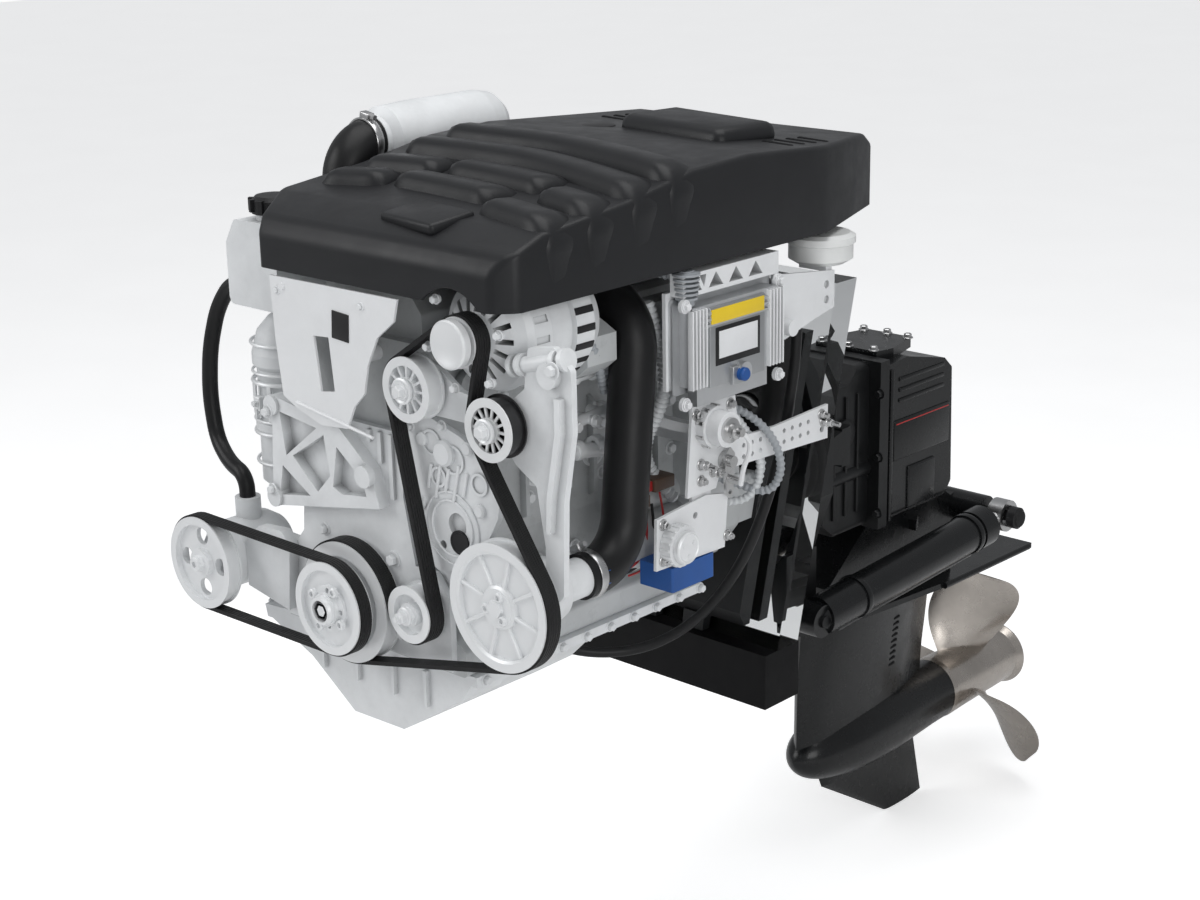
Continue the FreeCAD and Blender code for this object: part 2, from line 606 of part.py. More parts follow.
def make_alternator():
    """The alternator with its vent slots, and the casting that carries it and two idlers."""
    front, rear, radius = D.block_front + D.seat_gap, D.alt_body_rear, D.alt_body_radius
    post_low = D.pulley_front + D.bore_skin + 1
    alternator = Piece("alternator", D.alt_x, 0, D.alt_z)
    alternator.turn("XY", [(0, post_low), (D.post_radius, post_low),
                           (D.post_radius, front - 8), (24, front - 8), (radius - 18, front),
                           (radius - 4, front + 10), (radius, front + 18), (radius, front + 44),
                           (radius - 5, front + 46), (radius - 5, rear - 50), (radius, rear - 48),
                           (radius, rear - 20), (radius - 12, rear), (0, rear)])
    slot = alternator.pocket("XZ", [box_loop(28, -3, radius - 16, 3)], front - 8, front + 22)
    alternator.around(slot, 16, "Y")
    slot = alternator.pocket("XZ", [box_loop(radius - 2, -4, radius + 2, 4)], front + 20,
                             front + 40)
    alternator.around(slot, 18, "Y")
    bracket = Piece("alternator_bracket")
    low, high = D.timing_front, D.block_front
    low_edge = 246
    bracket.pad("XZ", [[(94, 312), (94, low_edge), (236, low_edge), (262, 214), (292, 196),
                        (303, 130), (302, 76), (310, 60), (328, 80), (332, 186), (346, 262),
                        (346, 330), (322, 352), (285, 346), (278, 300), (258, 284), (220, 276),
                        (180, 280), (142, 304)]], low, high)
    bracket.soften(6, along("Y"))
    for x, z in ((D.idler_a_x, D.idler_a_z), (D.idler_b_x, D.idler_b_z)):
        bracket.pad("XZ", [circle(x, z, D.post_radius)], post_low, low)
        bracket.pad("XZ", [circle(x, z, 15)], D.pulley_front + D.pulley_wide + 1, low)
    bracket.pad("XZ", [[(312, 150), (318, 150), (322, 190), (336, 262), (336, 300), (328, 300),
                        (328, 262), (314, 190)]], low - 8, low + 1)
    bracket.pad("XZ", [circle(318, 322, 14)], low - 8, low + 1)


def make_pumps():
    """The raw water pump on the port side and the steering pump to starboard."""
    post_low = D.pulley_front + D.bore_skin + 1
    pump = Piece("water_pump", D.water_x, 0, D.water_z)
    pump.turn("XY", [(0, post_low), (D.post_radius, post_low), (D.post_radius, D.pump_front),
                     (D.pump_body_radius, D.pump_front), (D.pump_body_radius, D.pump_front + 24),
                     (D.pump_body_radius - 8, D.pump_rear), (0, D.pump_rear)])
    pump.pad("XZ", [[(D.block_right - D.water_x, 20),
                     (D.block_right - D.water_x, 48), (-20, 34), (-20, -30),
                     (-80, -44)]], D.block_front + 4, D.pump_rear - 6)
    pump.pad("XZ", [circle(-4, -4, D.hose_radius - 4)], D.pump_rear - 1, D.pump_rear + 52)
    steer = Piece("steering_pump", D.steer_x, 0, D.steer_z)
    near = D.small_pulley_front + D.bore_skin + 1
    radius = D.steer_pump_radius
    steer.turn("XY", [(0, near), (D.post_radius, near), (D.post_radius, D.steer_pump_front),
                      (radius - 12, D.steer_pump_front), (radius, D.steer_pump_front + 14),
                      (radius, D.steer_pump_rear - 16), (radius - 10, D.steer_pump_rear),
                      (0, D.steer_pump_rear)])
    steer.pad("XY", [circle(0, 84, 16)], radius - 6, radius + 24)


def tube(points, radius, bend=math.inf, end_share=0.45):
    """A round tube along straight runs joined by arcs as large as the runs and the bend allow."""
    route = [Vector(*(float(c) for c in p)) for p in points]
    last = route[0]
    way = (route[1] - route[0]).normalize()
    pieces = []
    for before, corner, after in zip(route, route[1:], route[2:]):
        arrive, leave = (corner - before), (after - corner)
        turn = arrive.getAngle(leave)
        first = end_share if before is route[0] else 0.45
        second = end_share if after is route[-1] else 0.45
        reach = min(first * arrive.Length, second * leave.Length, bend * math.tan(turn / 2))
        arrive.normalize()
        leave.normalize()
        start = corner - arrive * reach
        if (start - last).Length > 1e-6:
            pieces.append(Part.makeCylinder(float(radius), (start - last).Length, last, arrive))
        axis = arrive.cross(leave).normalize()
        centre = start + axis.cross(arrive) * (reach / math.tan(turn / 2))
        disc = Part.Face(Part.Wire(Part.Circle(start, arrive, float(radius)).toShape()))
        pieces.append(disc.revolve(centre, axis, math.degrees(turn)))
        last, way = corner + leave * reach, leave
    pieces.append(Part.makeCylinder(float(radius), (route[-1] - last).Length, last, way))
    return pieces[0].fuse(pieces[1:]).removeSplitter()


MAIN_HOSE = [(D.water_x - 4, D.pump_rear + 52, D.water_z - 4),
             (D.water_x - 4, D.pump_rear + 124, D.water_z - 4), (230, 288, 344), (136, 288, 344)]
AIR_HOSE = [(-200, 284, 486), (-200, 238, 486), (-200, 238, 343), (-124, 238, 343),
            (-124, 300, 343)]
EXHAUST = [(-124, 400, 343), (-124, 598, 343), (-62, 598, 98), (-62, 646, 98)]
ELBOW_HOSE = [(184, 474, 300), (184, 606, 300), (184, 606, 110), (104, 606, 110),
              (104, 648, 110)]
STEERING_HOSE = [(-262, 118, 326), (-284, 118, 326), (-312, 114, 290), (-326, 108, 236),
                 (-328, 104, 176), (-314, 100, 122), (-278, 90, 100), (-239, 84, 92),
                 (-239, 84, 66)]
CABLE = [(250, 560, 284), (250, 560, 236), (244, 556, 176), (232, 552, 100),
         (210, 548, 20), (178, 540, -60), (136, 518, -130), (84, 480, -176), (34, 426, -184),
         (-4, 372, -162), (-20, 336, -140), (-20, 300, -140)]


def make_starboard():
    """Filter canister, coolant tank with its cap, air tube, exhaust manifold and turbocharger."""
    radius, foot, top = D.canister_radius, D.canister_foot, D.canister_top
    canister = Piece("filter_canister", D.canister_x, D.canister_y, 0)
    canister.turn("XZ", [(0, foot), (radius - 12, foot), (radius - 4, foot + 8),
                         (radius - 4, foot + 70), (radius, foot + 74), (radius, foot + 84),
                         (radius - 5, foot + 88), (radius - 5, foot + 150), (radius, foot + 156),
                         (radius, foot + 170), (radius - 8, top - 24), (radius - 22, top - 8),
                         (10, top), (0, top)])
    arm = -D.block_left - D.canister_x
    canister.pad("XY", [box_loop(radius - 8, -20, arm, 14)], 160, 176)
    tank = Piece("coolant_tank")
    low, high = 306, 412
    tank.pad("XZ", [[(-258, low), (-174, low), (-168, low + 10), (-168, high - 22),
                     (-186, high), (-244, high), (-262, high - 30), (-262, low + 8)]], 96, 200)
    tank.soften(8, along("Y"))
    tank.pad("XZ", [box_loop(-169, low, -120, low + 16)], 184, 199)
    tank.pad("XY", [circle(-205, 128, 22)], high - 1, high + 8)
    tank.pocket("XY", [circle(-205, 128, 15)], high - 20, high + 8)
    tank.pad("YZ", [circle(150, 350, 11)], -276, -261)
    cap = Piece("coolant_cap")
    cap.turn("XZ", [(0, -12), (14, -12), (14, D.seat_gap), (27, D.seat_gap), (27, 16), (22, 21),
                    (0, 21)])
    seat(cap.body, -205, 128, high + 8)
    grip = cap.pad("XY", [box_loop(25, -3, 31, 3)], 3, 18)
    cap.around(grip, 10, "Z")
    manifold = Piece("exhaust_manifold")
    manifold.pad("XZ", [[(-D.head_left, 236), (-D.head_left, 292), (-120, 306), (-160, 306),
                         (-172, 290), (-172, 254), (-150, 236)]], 182, 430)
    manifold.soften(9, along("Y"))
    turbo = Piece("turbocharger", -124, 300, 343)
    turbo.turn("XY", [(0, 0), (26, 0), (26, 12), (36, 20), (36, 44), (20, 52), (20, 62), (33, 68),
                      (33, 90), (30, 100), (0, 100)])
    turbo.pad("XY", [box_loop(-16, 70, 14, 88)], -37, -26)
    shell = Piece("air_tube", -200, 284, 486)
    shell.turn("XY", [(0, 0), (30, 0), (30, 8), (41, 16), (43, 60), (43, 176), (39, 198),
                      (27, 214), (10, 220), (10, 230), (0, 230)])
    shaped("air_hose", tube(AIR_HOSE, 29, 44, 0.94))
    manifold.pad("XZ", [[(-171, 290), (-160, 290), (-160, 440), (-168, 440)]], 404, 428)
    manifold.pad("XZ", [[(-169, 420), (-160, 420), (-160, 446), (-172, 440), (-200, 438),
                         (-200, 434), (-172, 434)]], 410, 418)
    shaped("exhaust_elbow", tube(EXHAUST, 31, 86, 0.94))
    shaped("steering_hose", tube(STEERING_HOSE, 10, end_share=0.9))


def make_port_side():
    """Intake, starter, control unit, lever plates, reservoir and the brackets for them."""
    intake = Piece("intake_manifold")
    left = D.head_right + 12
    intake.pad("XZ", [[(left, 240), (left, 290), (left + 20, 318), (212, 330), (236, 318),
                       (236, 286), (216, 270), (left + 14, 240)]], 222, 240)
    intake.pad("XZ", [[(162, 284), (170, 322), (212, 330), (236, 318), (236, 286), (216, 270)]],
               200, 248)
    intake.pad("XZ", [[(158, 282), (166, 324), (206, 328), (208, 274)]], 338, 474)
    intake.pad("XY", [box_loop(150, 238, 166, 339)], 284, 312)
    step = (D.block_rear - D.block_front) / 4
    runner = intake.pad("YZ", [circle(D.block_front + step / 2 + step * 2,
                                      D.block_deck + D.gasket_thick + 44, 17)], left, 176)
    intake.row(runner, 2, step, "Y")
    shaped("coolant_hose", tube(MAIN_HOSE, D.hose_radius, 62, 0.94))
    starter = Piece("starter_motor", D.starter_x, D.starter_y, D.starter_z)
    radius, length = D.starter_radius, D.starter_long
    starter.turn("XY", [(0, 0), (radius - 10, 0), (radius - 4, 6), (radius, 14), (radius, 96),
                        (radius + 3, 98), (radius + 3, 108), (radius - 4, 112),
                        (radius - 10, length), (0, length)])
    starter.pad("XZ", [circle(-6, 46, 20)], 24, 104)
    starter.pad("XZ", [[(-30, -20), (-30, 24), (D.block_right + 4 - D.starter_x, 34),
                        (D.block_right + 18 - D.starter_x, -D.starter_z + 2)]], 98, 112)


def make_controls():
    """The control unit on its bracket, and the two upright plates with the lever on them."""
    plate = D.side_plate_x
    thick = D.side_plate
    unit = Piece("control_unit")
    front, rear = D.ecu_front, D.ecu_front + D.ecu_long
    foot, top = D.ecu_foot, D.ecu_foot + D.ecu_high
    near, far = D.ecu_x, D.ecu_x + D.ecu_deep
    unit.pad("YZ", [box_loop(front, foot, rear, top)], near, near + 6)
    unit.soften(6, along("X"))
    unit.pad("YZ", [box_loop(front + 12, foot + 10, rear - 12, top - 8)], near + 5, far)
    fin = unit.pad("YZ", [box_loop(front + 20, top - 34, rear - 20, top - 31)], far - 1, far + 3)
    unit.row(fin, 3, 14, "Z")
    unit.pad("YZ", [circle(front + 96, foot + 16, 11)], far - 1, far + 10)
    unit.pad("XY", [box_loop(near + 8, front + 24, far - 4, rear - 24)], foot - 14, foot + 11)
    bracket = Piece("control_unit_bracket")
    bracket.pad("YZ", [box_loop(front - 4, foot + 6, rear + 8, top + 8)], near - 5, near)
    bracket.pad("YZ", [box_loop(rear + 3, 290, rear + 8, 330)], near - 1, plate + 1)
    bracket.pad("YZ", [[(rear + 3, 345), (rear + 3, 268), (508, 262), (566, 276), (606, 284),
                        (606, 330)], circle(590, 315, 5), circle(590, 296, 5)],
                plate, plate + thick)
    bracket.pad("YZ", [circle(502, 280, 10)], plate + thick - 1, plate + thick + 18)
    bracket.pad("XY", [box_loop(241, 551, plate + 1, 569)], 284, 300)
    bracket.pad("XY", [box_loop(228, 592, plate + 1, 604)], 330, 336)
    bracket.pad("YZ", [[(front + 4, top + 4), (rear, top + 4), (rear, top + 30), (front + 4, top + 30)],
                       [(front + 12, top + 9), (front + 36, top + 9), (front + 24, top + 26)],
                       [(front + 44, top + 26), (front + 32, top + 26), (front + 40, top + 12)],
                       [(front + 48, top + 9), (front + 74, top + 9), (front + 61, top + 26)],
                       [(front + 84, top + 9), (front + 110, top + 9), (front + 97, top + 26)],
                       [(front + 120, top + 9), (front + 146, top + 9), (front + 133, top + 26)]],
                near, near + 20)
    bracket.pad("XY", [box_loop(208, 344, near - 4, 360), box_loop(208, 440, near - 4, 456)],
                286, 300)
    throttle = Piece("throttle_plate")
    throttle.pad("YZ", [[(326, 108), (378, 108), (386, 126), (408, 126), (596, 118), (596, 162),
                         (492, 158), (420, 160), (414, 214), (336, 216)],
                        circle(352, 200, 5), circle(584, 150, 4), circle(584, 132, 4)],
                 plate, plate + thick)
    for y in (430, 446, 462, 508, 524, 540, 556):
        throttle.pocket("YZ", [circle(y, 148, 3), circle(y, 134, 3)], plate, plate + thick)
    throttle.pad("XY", [box_loop(D.block_right, 354, plate + 1, 366)], 176, 188)
    throttle.pad("XY", [box_loop(D.block_right, 414, plate + 1, 428)], 140, 154)
    throttle.pad("YZ", [circle(366, 188, 25)], plate + thick - 1, plate + thick + 12)
    throttle.pad("YZ", [circle(366, 188, 21)], plate + thick + 11, plate + thick + 30)
    lever = Piece("throttle_lever", plate + thick, 392, 140)
    lever.turn("XY", [(D.seat_gap, 0), (D.seat_gap, 11), (6, 11), (6, 7), (16, 7), (16, 0)], "H_Axis")
    lever.pad("YZ", [[(-9, -4), (-6, -40), (0, -46), (6, -40), (9, -4), (9, 8), (0, 18), (-9, 8)],
                     circle(0, -38, 3)], 6, 10)
    lever.pad("YZ", [circle(0, -22, 5)], 9, 26)
    throttle.pad("YZ", [[(270, 34), (394, 30), (400, 96), (360, 104), (272, 96)],
                     circle(340, 84, 4)], plate, plate + thick)
    throttle.pad("YZ", [box_loop(338, 92, 372, 128)], plate - 4, plate + 1)
    throttle.pad("YZ", [circle(300, 60, 24)], plate + thick - 1, plate + thick + 16)
    throttle.pad("YZ", [circle(300, 60, 19)], plate + thick + 15, plate + thick + 24)
    relay = Piece("relay_box")
    relay.pad("XY", [box_loop(plate - 46, 296, plate + 6, 372)], 0, 30)
    relay.soften(3, along("Z"))
    tub = Piece("reservoir", 246, 612, 0)
    tub.turn("XZ", [(0, 336), (30, 336), (40, 342), (40, 360), (43, 362), (43, 370), (36, 374),
                    (0, 374)])
    shaped("elbow_hose", tube(ELBOW_HOSE, 23, 62, 0.94))


def cover_form(name, inset, keep):
    """The engine cover's form, or its hollow when drawn one wall further in."""
    form = Piece(name, keep=keep)
    left, right = -D.cover_left + inset, D.cover_right - inset
    front, rear = D.cover_front + inset, D.cover_rear - inset
    foot = D.cover_foot - (1 if float(inset) else 0)
    outline = [(-D.cover_front_left + inset, front), (right - 6, front), (right, front + 30),
               (right, D.cover_corner_y), (D.cover_corner_x - inset / 2, rear - 20),
               (D.cover_corner_x - 20, rear), (left + 20, rear), (left, rear - 20),
               (left, front + 60)]
    top = D.cover_high_top - inset
    form.pad("XY", [outline], foot, top)
    form.soften(D.cover_corner - inset, along("Z"))
    high = top + 10
    form.pocket("YZ", [[(front - 20, high), (front - 20, D.cover_nose_top - 22 - inset),
                        (front + 4, D.cover_nose_top - 4 - inset),
                        (front + 60, D.cover_mid_top - 10 - inset),
                        (220, D.cover_mid_top - inset), (330, top - 2), (430, top),
                        (540, top - 8), (rear - 30, D.cover_rear_top - inset),
                        (rear + 20, D.cover_rear_top - 24 - inset), (rear + 20, high)]],
                left - 50, right + 50)
    for side, edge in ((-1, left), (1, right)):
        form.pocket("XZ", [[(edge + side * 20, high), (edge + side * 20, D.cover_foot + 42),
                            (edge, D.cover_foot + 52), (edge - side * 46, top + 2),
                            (edge - side * 46, high)]], front - 40, rear + 40)
    return form


def make_cover():
    """The moulded cover: a shell with cross ribs, a rear hump, slots and an arch in front."""
    outer = cover_form("cover_outer", Dim.of(0), False)
    hollow = cover_form("cover_hollow", D.cover_wall, False)
    root, crest = D.cover_nose_top, D.cover_high_top
    for low, left in ((198, -40), (262, -70), (326, -100), (390, -100)):
        outer.pad("YZ", [[(low, root), (low + 44, root), (low + 42, crest), (low + 32, crest + 7),
                          (low + 16, crest + 2), (low + 4, crest - 22)]], left, 226)
    outer.pad("YZ", [[(500, root), (648, root), (640, crest + 4), (620, crest + 10),
                      (524, crest + 12), (508, crest + 4)]], 10, 130)
    outer.pocket("XZ", [circle(D.alt_x - 6, D.alt_z, 58)], D.cover_front - 10,
                 D.cover_front + 44)
    for x in (-96, 168):
        for step in range(4):
            y = 624 + step * 26
            outer.pocket("XY", [box_loop(x - 37, y, x + 37, y + 9)],
                         D.cover_rear_top - 3, crest + 10)
    joined("Part::Cut", "engine_cover", outer.body, hollow.body)


def raked(y, z):
    """How far aft a point at height z lies on a face that leans with the transom."""
    return y + z * D.rake_slope


def make_stand():
    """The clear transom board, the channel it stands on and the plates bolted to it."""
    half = D.board_thick / 2
    foot, top = -D.crank_height + D.channel_high, D.board_top
    front, rear = D.board_y - half, D.board_y + half
    board = Piece("transom_board")
    board.pad("YZ", [[(raked(front, foot), foot), (raked(rear, foot), foot),
                      (raked(rear, top), top), (raked(front, top), top)]],
              -D.board_half, D.board_half)
    board.pocket("XZ", [circle(0, 0, D.boot_radius + 6)], D.board_y - 60, D.board_y + 60)
    channel = Piece("stand_channel", 0, -D.crank_aft, -D.crank_height)
    wide, high, wall = D.channel_wide / 2, D.channel_high, D.channel_wall
    channel.pad("YZ", [box_loop(-wide, 0, wide, high),
                       box_loop(wall - wide, wall, wide - wall, high - wall)],
                -D.channel_half, D.channel_half)
    for low, end in ((-D.channel_half, wall - D.channel_half),
                     (D.channel_half - wall, D.channel_half)):
        channel.pad("YZ", [box_loop(-wide, 0, wide, high)], low, end)
    inner = Piece("inner_transom_plate")
    low, high = D.inner_plate_foot, D.inner_plate_top
    deep, width = D.inner_plate_thick, D.inner_plate_half
    inner.pad("YZ", [[(raked(front - deep, low + 20), low + 20), (raked(front - 12, low), low),
                      (raked(front, low), low), (raked(front, high), high),
                      (raked(front - 12, high), high),
                      (raked(front - deep, high - 20), high - 20)]], -width, width)
    for x, z, radius, y in ((-62, 98, 34, 646), (104, 110, 26, 648)):
        inner.pad("XZ", [circle(x, z, radius)], y, raked(front - deep + 8, z))
    for x in (-40, 44):
        inner.pad("YZ", [[(raked(front - 14, low - 22), low - 22), (raked(front, low - 22), low - 22),
                          (raked(front, low + 1), low + 1), (raked(front - 16, low + 1), low + 1)]],
                  x - 18, x + 18)


def make_gimbal():
    """The fixed housing with its swivel pins, and the ring that steers the drive on them."""
    rear = D.board_y + D.board_thick / 2
    wide, thick, wall = D.housing_half, D.housing_thick, D.ring_wall
    low, high = D.inner_plate_foot - 12, D.inner_plate_top + 46
    housing = Piece("gimbal_housing")
    housing.pad("YZ", [[(raked(rear, low), low), (raked(rear + thick, low), low),
                        (raked(rear + thick, high), high), (raked(rear, high), high)]],
                -wide, wide)
    housing.pocket("XZ", [circle(0, 0, D.boot_radius)], D.board_y - 40, D.board_y + 140)
    post, gap = D.swivel_y, D.travel_gap
    arm_foot = D.ring_high + gap
    housing.pad("YZ", [[(raked(rear + 4, arm_foot), arm_foot), (post + 18, arm_foot),
                        (post + 24, arm_foot + 8), (post + 14, high), (raked(rear + 4, high), high)]],
                -28, 28)
    arm_top = -D.ring_high - 14 - gap
    housing.pad("YZ", [[(raked(rear + 4, low), low), (post + 18, arm_top - 20),
                        (post + 20, arm_top), (raked(rear + 4, arm_top), arm_top)]], -20, 20)
    pin = D.hinge_pin_radius + 2
    for base, tip in ((arm_foot - wall + 3, arm_foot + 1), (arm_top - 1, arm_top + wall - 3)):
        housing.pad("XY", [circle(0, post, pin)], base, tip)
    ring = Piece("gimbal_ring", 0, D.swivel_y, 0)
    half, tall, deep = D.ring_half, D.ring_high, D.ring_deep / 2
    outer = both_sides([(0, tall), (48, tall - 2), (84, tall - 48), (half, 50), (half, -50),
                        (84, -112), (64, -tall - 14), (0, -tall - 14)])
    inner = both_sides([(0, tall - wall), (44, tall - wall - 2), (72, tall - 60),
                        (half - wall, 44), (half - wall, -44), (68, -108), (46, 4 - tall),
                        (0, 4 - tall)])
    ring.pad("XZ", [outer, inner], -deep, deep)
    ring.pocket("XY", [circle(0, 0, pin + D.running_fit)], tall - wall - 1, tall + 1)
    ring.pocket("XY", [circle(0, 0, pin + D.running_fit)], -tall - 15, 5 - tall)
    anchor = D.ram_y - D.swivel_y
    for side in (-1, 1):
        ring.pad("XZ", [[(side * 50, -tall - 4), (side * 72, -136), (side * 80, -136),
                         (side * 80, D.ram_z - 14), (side * 58, D.ram_z - 14)]], anchor - 14, deep)
        low_x, high_x = (60, D.ram_x + 22) if side > 0 else (-D.ram_x - 22, -60)
        ring.pad("YZ", [circle(anchor, D.ram_z, D.hinge_pin_radius)], low_x, high_x)
        reach = D.ring_half - wall - 1 - D.hinge_arm
        low_x, high_x = (reach, half - wall + 1) if side > 0 else (wall - 1 - half, -reach)
        ring.pad("YZ", [circle(0, 0, D.hinge_pin_radius)], low_x, high_x)


def make_bell():
    """The bell housing that hangs on the ring's hinge pins, with its bellows."""
    bell = Piece("bell_housing", 0, D.swivel_y, 0)
    front, rear = D.bell_front - D.swivel_y, D.bell_rear - D.swivel_y
    bell.pad("YZ", [[(front, -84), (front, 56), (front + 30, 70), (front + 58, 76),
                     (front + 90, 76), (front + 120, 98), (rear, D.drive_top), (rear, -150),
                     (front + 70, -150), (front + 20, -112)]], -60, 60)
    bell.soften(12, along("Y", 40))
    bell.pad("YZ", [[(rear - 22, -152), (rear - 22, D.drive_top + 2), (rear, D.drive_top + 2),
                     (rear, -152)]], -D.drive_half - 4, D.drive_half + 4)
    bell.pocket("XZ", [circle(0, 0, 50)], front - 1, front + 60)
    reach = D.ring_half - D.ring_wall - 1
    for side in (-1, 1):
        near, far = reach - D.hinge_arm, reach
        low_x, high_x = (near, far) if side > 0 else (-far, -near)
        bell.pad("YZ", [[(-16, -18), (0, -22), (40, -20), (80, -30), (80, 30), (40, 20), (0, 22),
                         (-16, 18)], circle(0, 0, D.hinge_pin_radius + D.running_fit)],
                 low_x, high_x)
        low_x, high_x = (58, far) if side > 0 else (-far, -58)
        bell.pad("YZ", [box_loop(60, -28, 80, 28)], low_x, high_x)
    bellows = Piece("drive_bellows", 0, D.swivel_y, 0)
    end = front - D.seat_gap
    collar = D.boot_radius - D.seat_gap
    waves = [(44, end), (56, end), (56, end - 4)]
    for step in range(7):
        y = front - 10 - step * 12
        waves += [(50, y), (58, y - 6)]
    bellows.turn("XY", waves + [(52, -74), (collar, -74), (collar, -116), (56, -116), (46, -66)])


def make_drive():
    """The driveshaft housing with its top cover, and the rear fork that holds the anchor pin."""
    front, half, top = D.bell_rear, D.drive_half, D.drive_top
    rear, foot = D.drive_rear, D.plate_z + D.seat_gap
    house = Piece("driveshaft_housing")
    house.pad("YZ", [[(front, -150), (front, top - 8), (front + 50, top - 4), (rear - 20, top - 26),
                      (rear, top - 44), (rear + 6, -130), (rear - 10, -150)]], -half, half)
    house.soften(14, along("Y", 60))
    house.soften(5, along("X", 60))
    house.pad("YZ", [[(906, foot), (906, foot + 62), (front, -156), (front + 10, -149),
                      (rear + 4, -149), (rear + 36, -200), (rear + 60, foot)]], -46, 46)
    pin_y, pin_z = D.anchor_y, D.anchor_z
    house.pad("YZ", [[(rear - 20, -149), (rear + 6, -130), (pin_y - 20, pin_z + 20),
                      (pin_y, pin_z + 24), (pin_y, pin_z - 24), (rear + 40, pin_z - 40)]], -30, 30)
    house.pad("YZ", [circle(pin_y, pin_z, 24)], 2 - D.ram_x + 26, D.ram_x - 28)
    house.pad("XY", [[(-60, rear - 60), (-30, rear - 4), (-26, pin_y - 8), (-70, pin_y - 14),
                      (-84, pin_y - 14), (-84, pin_y + 8), (84, pin_y + 8), (84, pin_y - 14),
                      (70, pin_y - 14), (26, pin_y - 8), (30, rear - 4), (60, rear - 60)]],
              pin_z + 4, pin_z + 20)
    house.pocket("YZ", [circle(pin_y, pin_z, D.anchor_radius + D.running_fit)],
                 -D.ram_x, D.ram_x)
    house.pad("XY", [[(-52, front + 6), (52, front + 6), (58, front + 40), (40, front + 110),
                      (-40, front + 110), (-58, front + 40)]], top - 8, top + 8)
    pin = Piece("anchor_pin")
    radius = D.anchor_radius
    reach = D.ram_x + 18
    pin.turn("XY", [(-reach - 16, 0), (-reach - 16, 12), (-reach - 13, 17), (-reach, 17),
                    (-reach, radius), (reach, radius), (reach, 17), (reach + 13, 17),
                    (reach + 16, 12), (reach + 16, 0)], "H_Axis")
    seat(pin.body, 0, pin_y, pin_z)


def foil(nose, tail, half, z, blunt=0.1):
    """A strut's section: a closed curve from a round nose to a thin tail."""
    chord = tail - nose
    spots = [(0.0, 0.0), (0.05, 0.5), (0.18, 0.86), (0.4, 1.0), (0.7, 0.8), (1.0, blunt)]
    side = [Vector(half * w, nose + chord * u, z) for u, w in spots]
    other = [Vector(-p.x, p.y, p.z) for p in side]
    edges = []
    for points in (side, list(reversed(other))):
        curve = Part.BSplineCurve()
        curve.interpolate(points)
        edges.append(curve.toShape())
    edges.insert(1, Part.LineSegment(side[-1], other[-1]).toShape())
    return Part.Wire(edges)


def make_gearcase():
    """The gearcase: strut, gear torpedo, skeg and the flat plate over the propeller."""
    shaft = float(D.shaft_z)
    nose, tail = float(D.torpedo_nose), float(D.torpedo_tail)
    radius = float(D.torpedo_radius)
    top, thick = float(D.plate_z), float(D.plate_thick)
    strut = Part.makeLoft([foil(906, tail - 20, float(D.strut_half) + 6, top - 1),
                           foil(900, tail - 20, float(D.strut_half), top - 60),
                           foil(896, tail - 30, float(D.strut_half) - 6, top - 130),
                           foil(896, tail - 24, float(D.strut_half) - 2, shaft)], True, False)
    skeg = Part.makeLoft([foil(930, tail - 40, 20, shaft), foil(960, tail - 44, 9, shaft - 66),
                          foil(1130, tail - 18, float(D.skeg_half) / 2, float(D.skeg_foot))],
                         True, True)
    spots = [(0, 0), (14, 6), (30, 22), (44, 56), (radius, 130), (radius, 240), (50, tail - nose)]
    curve = Part.BSplineCurve()
    curve.interpolate([Vector(r, nose + y, 0) for r, y in spots])
    start, end = Vector(0, nose, 0), Vector(0, tail, 0)
    profile = Part.Wire([curve.toShape(),
                         Part.LineSegment(Vector(50, tail, 0), end).toShape(),
                         Part.LineSegment(end, start).toShape()])
    torpedo = Part.Face(profile).revolve(Vector(), Vector(0, 1, 0), 360)
    torpedo.translate(Vector(0, 0, shaft))
    half, aft = float(D.plate_half), float(D.plate_tail)
    front = float(D.plate_nose)
    flat = Part.makePolygon([Vector(x, y, top) for x, y in (
        (-14, front), (14, front), (38, front + 30), (half - 8, front + 300), (half, aft),
        (-half, aft), (8 - half, front + 300), (-38, front + 30), (-14, front))])
    plate = Part.Face(flat).extrude(Vector(0, 0, -thick))
    shape = strut.fuse([skeg, torpedo, plate]).removeSplitter()
    bore = float(D.prop_shaft_radius) + float(D.running_fit)
    shape = shape.cut(Part.makeCylinder(bore, 60, Vector(0, tail - 58, shaft), Vector(0, 1, 0)))
    shaped("gearcase", shape.Solids[0] if len(shape.Solids) == 1 else shape)


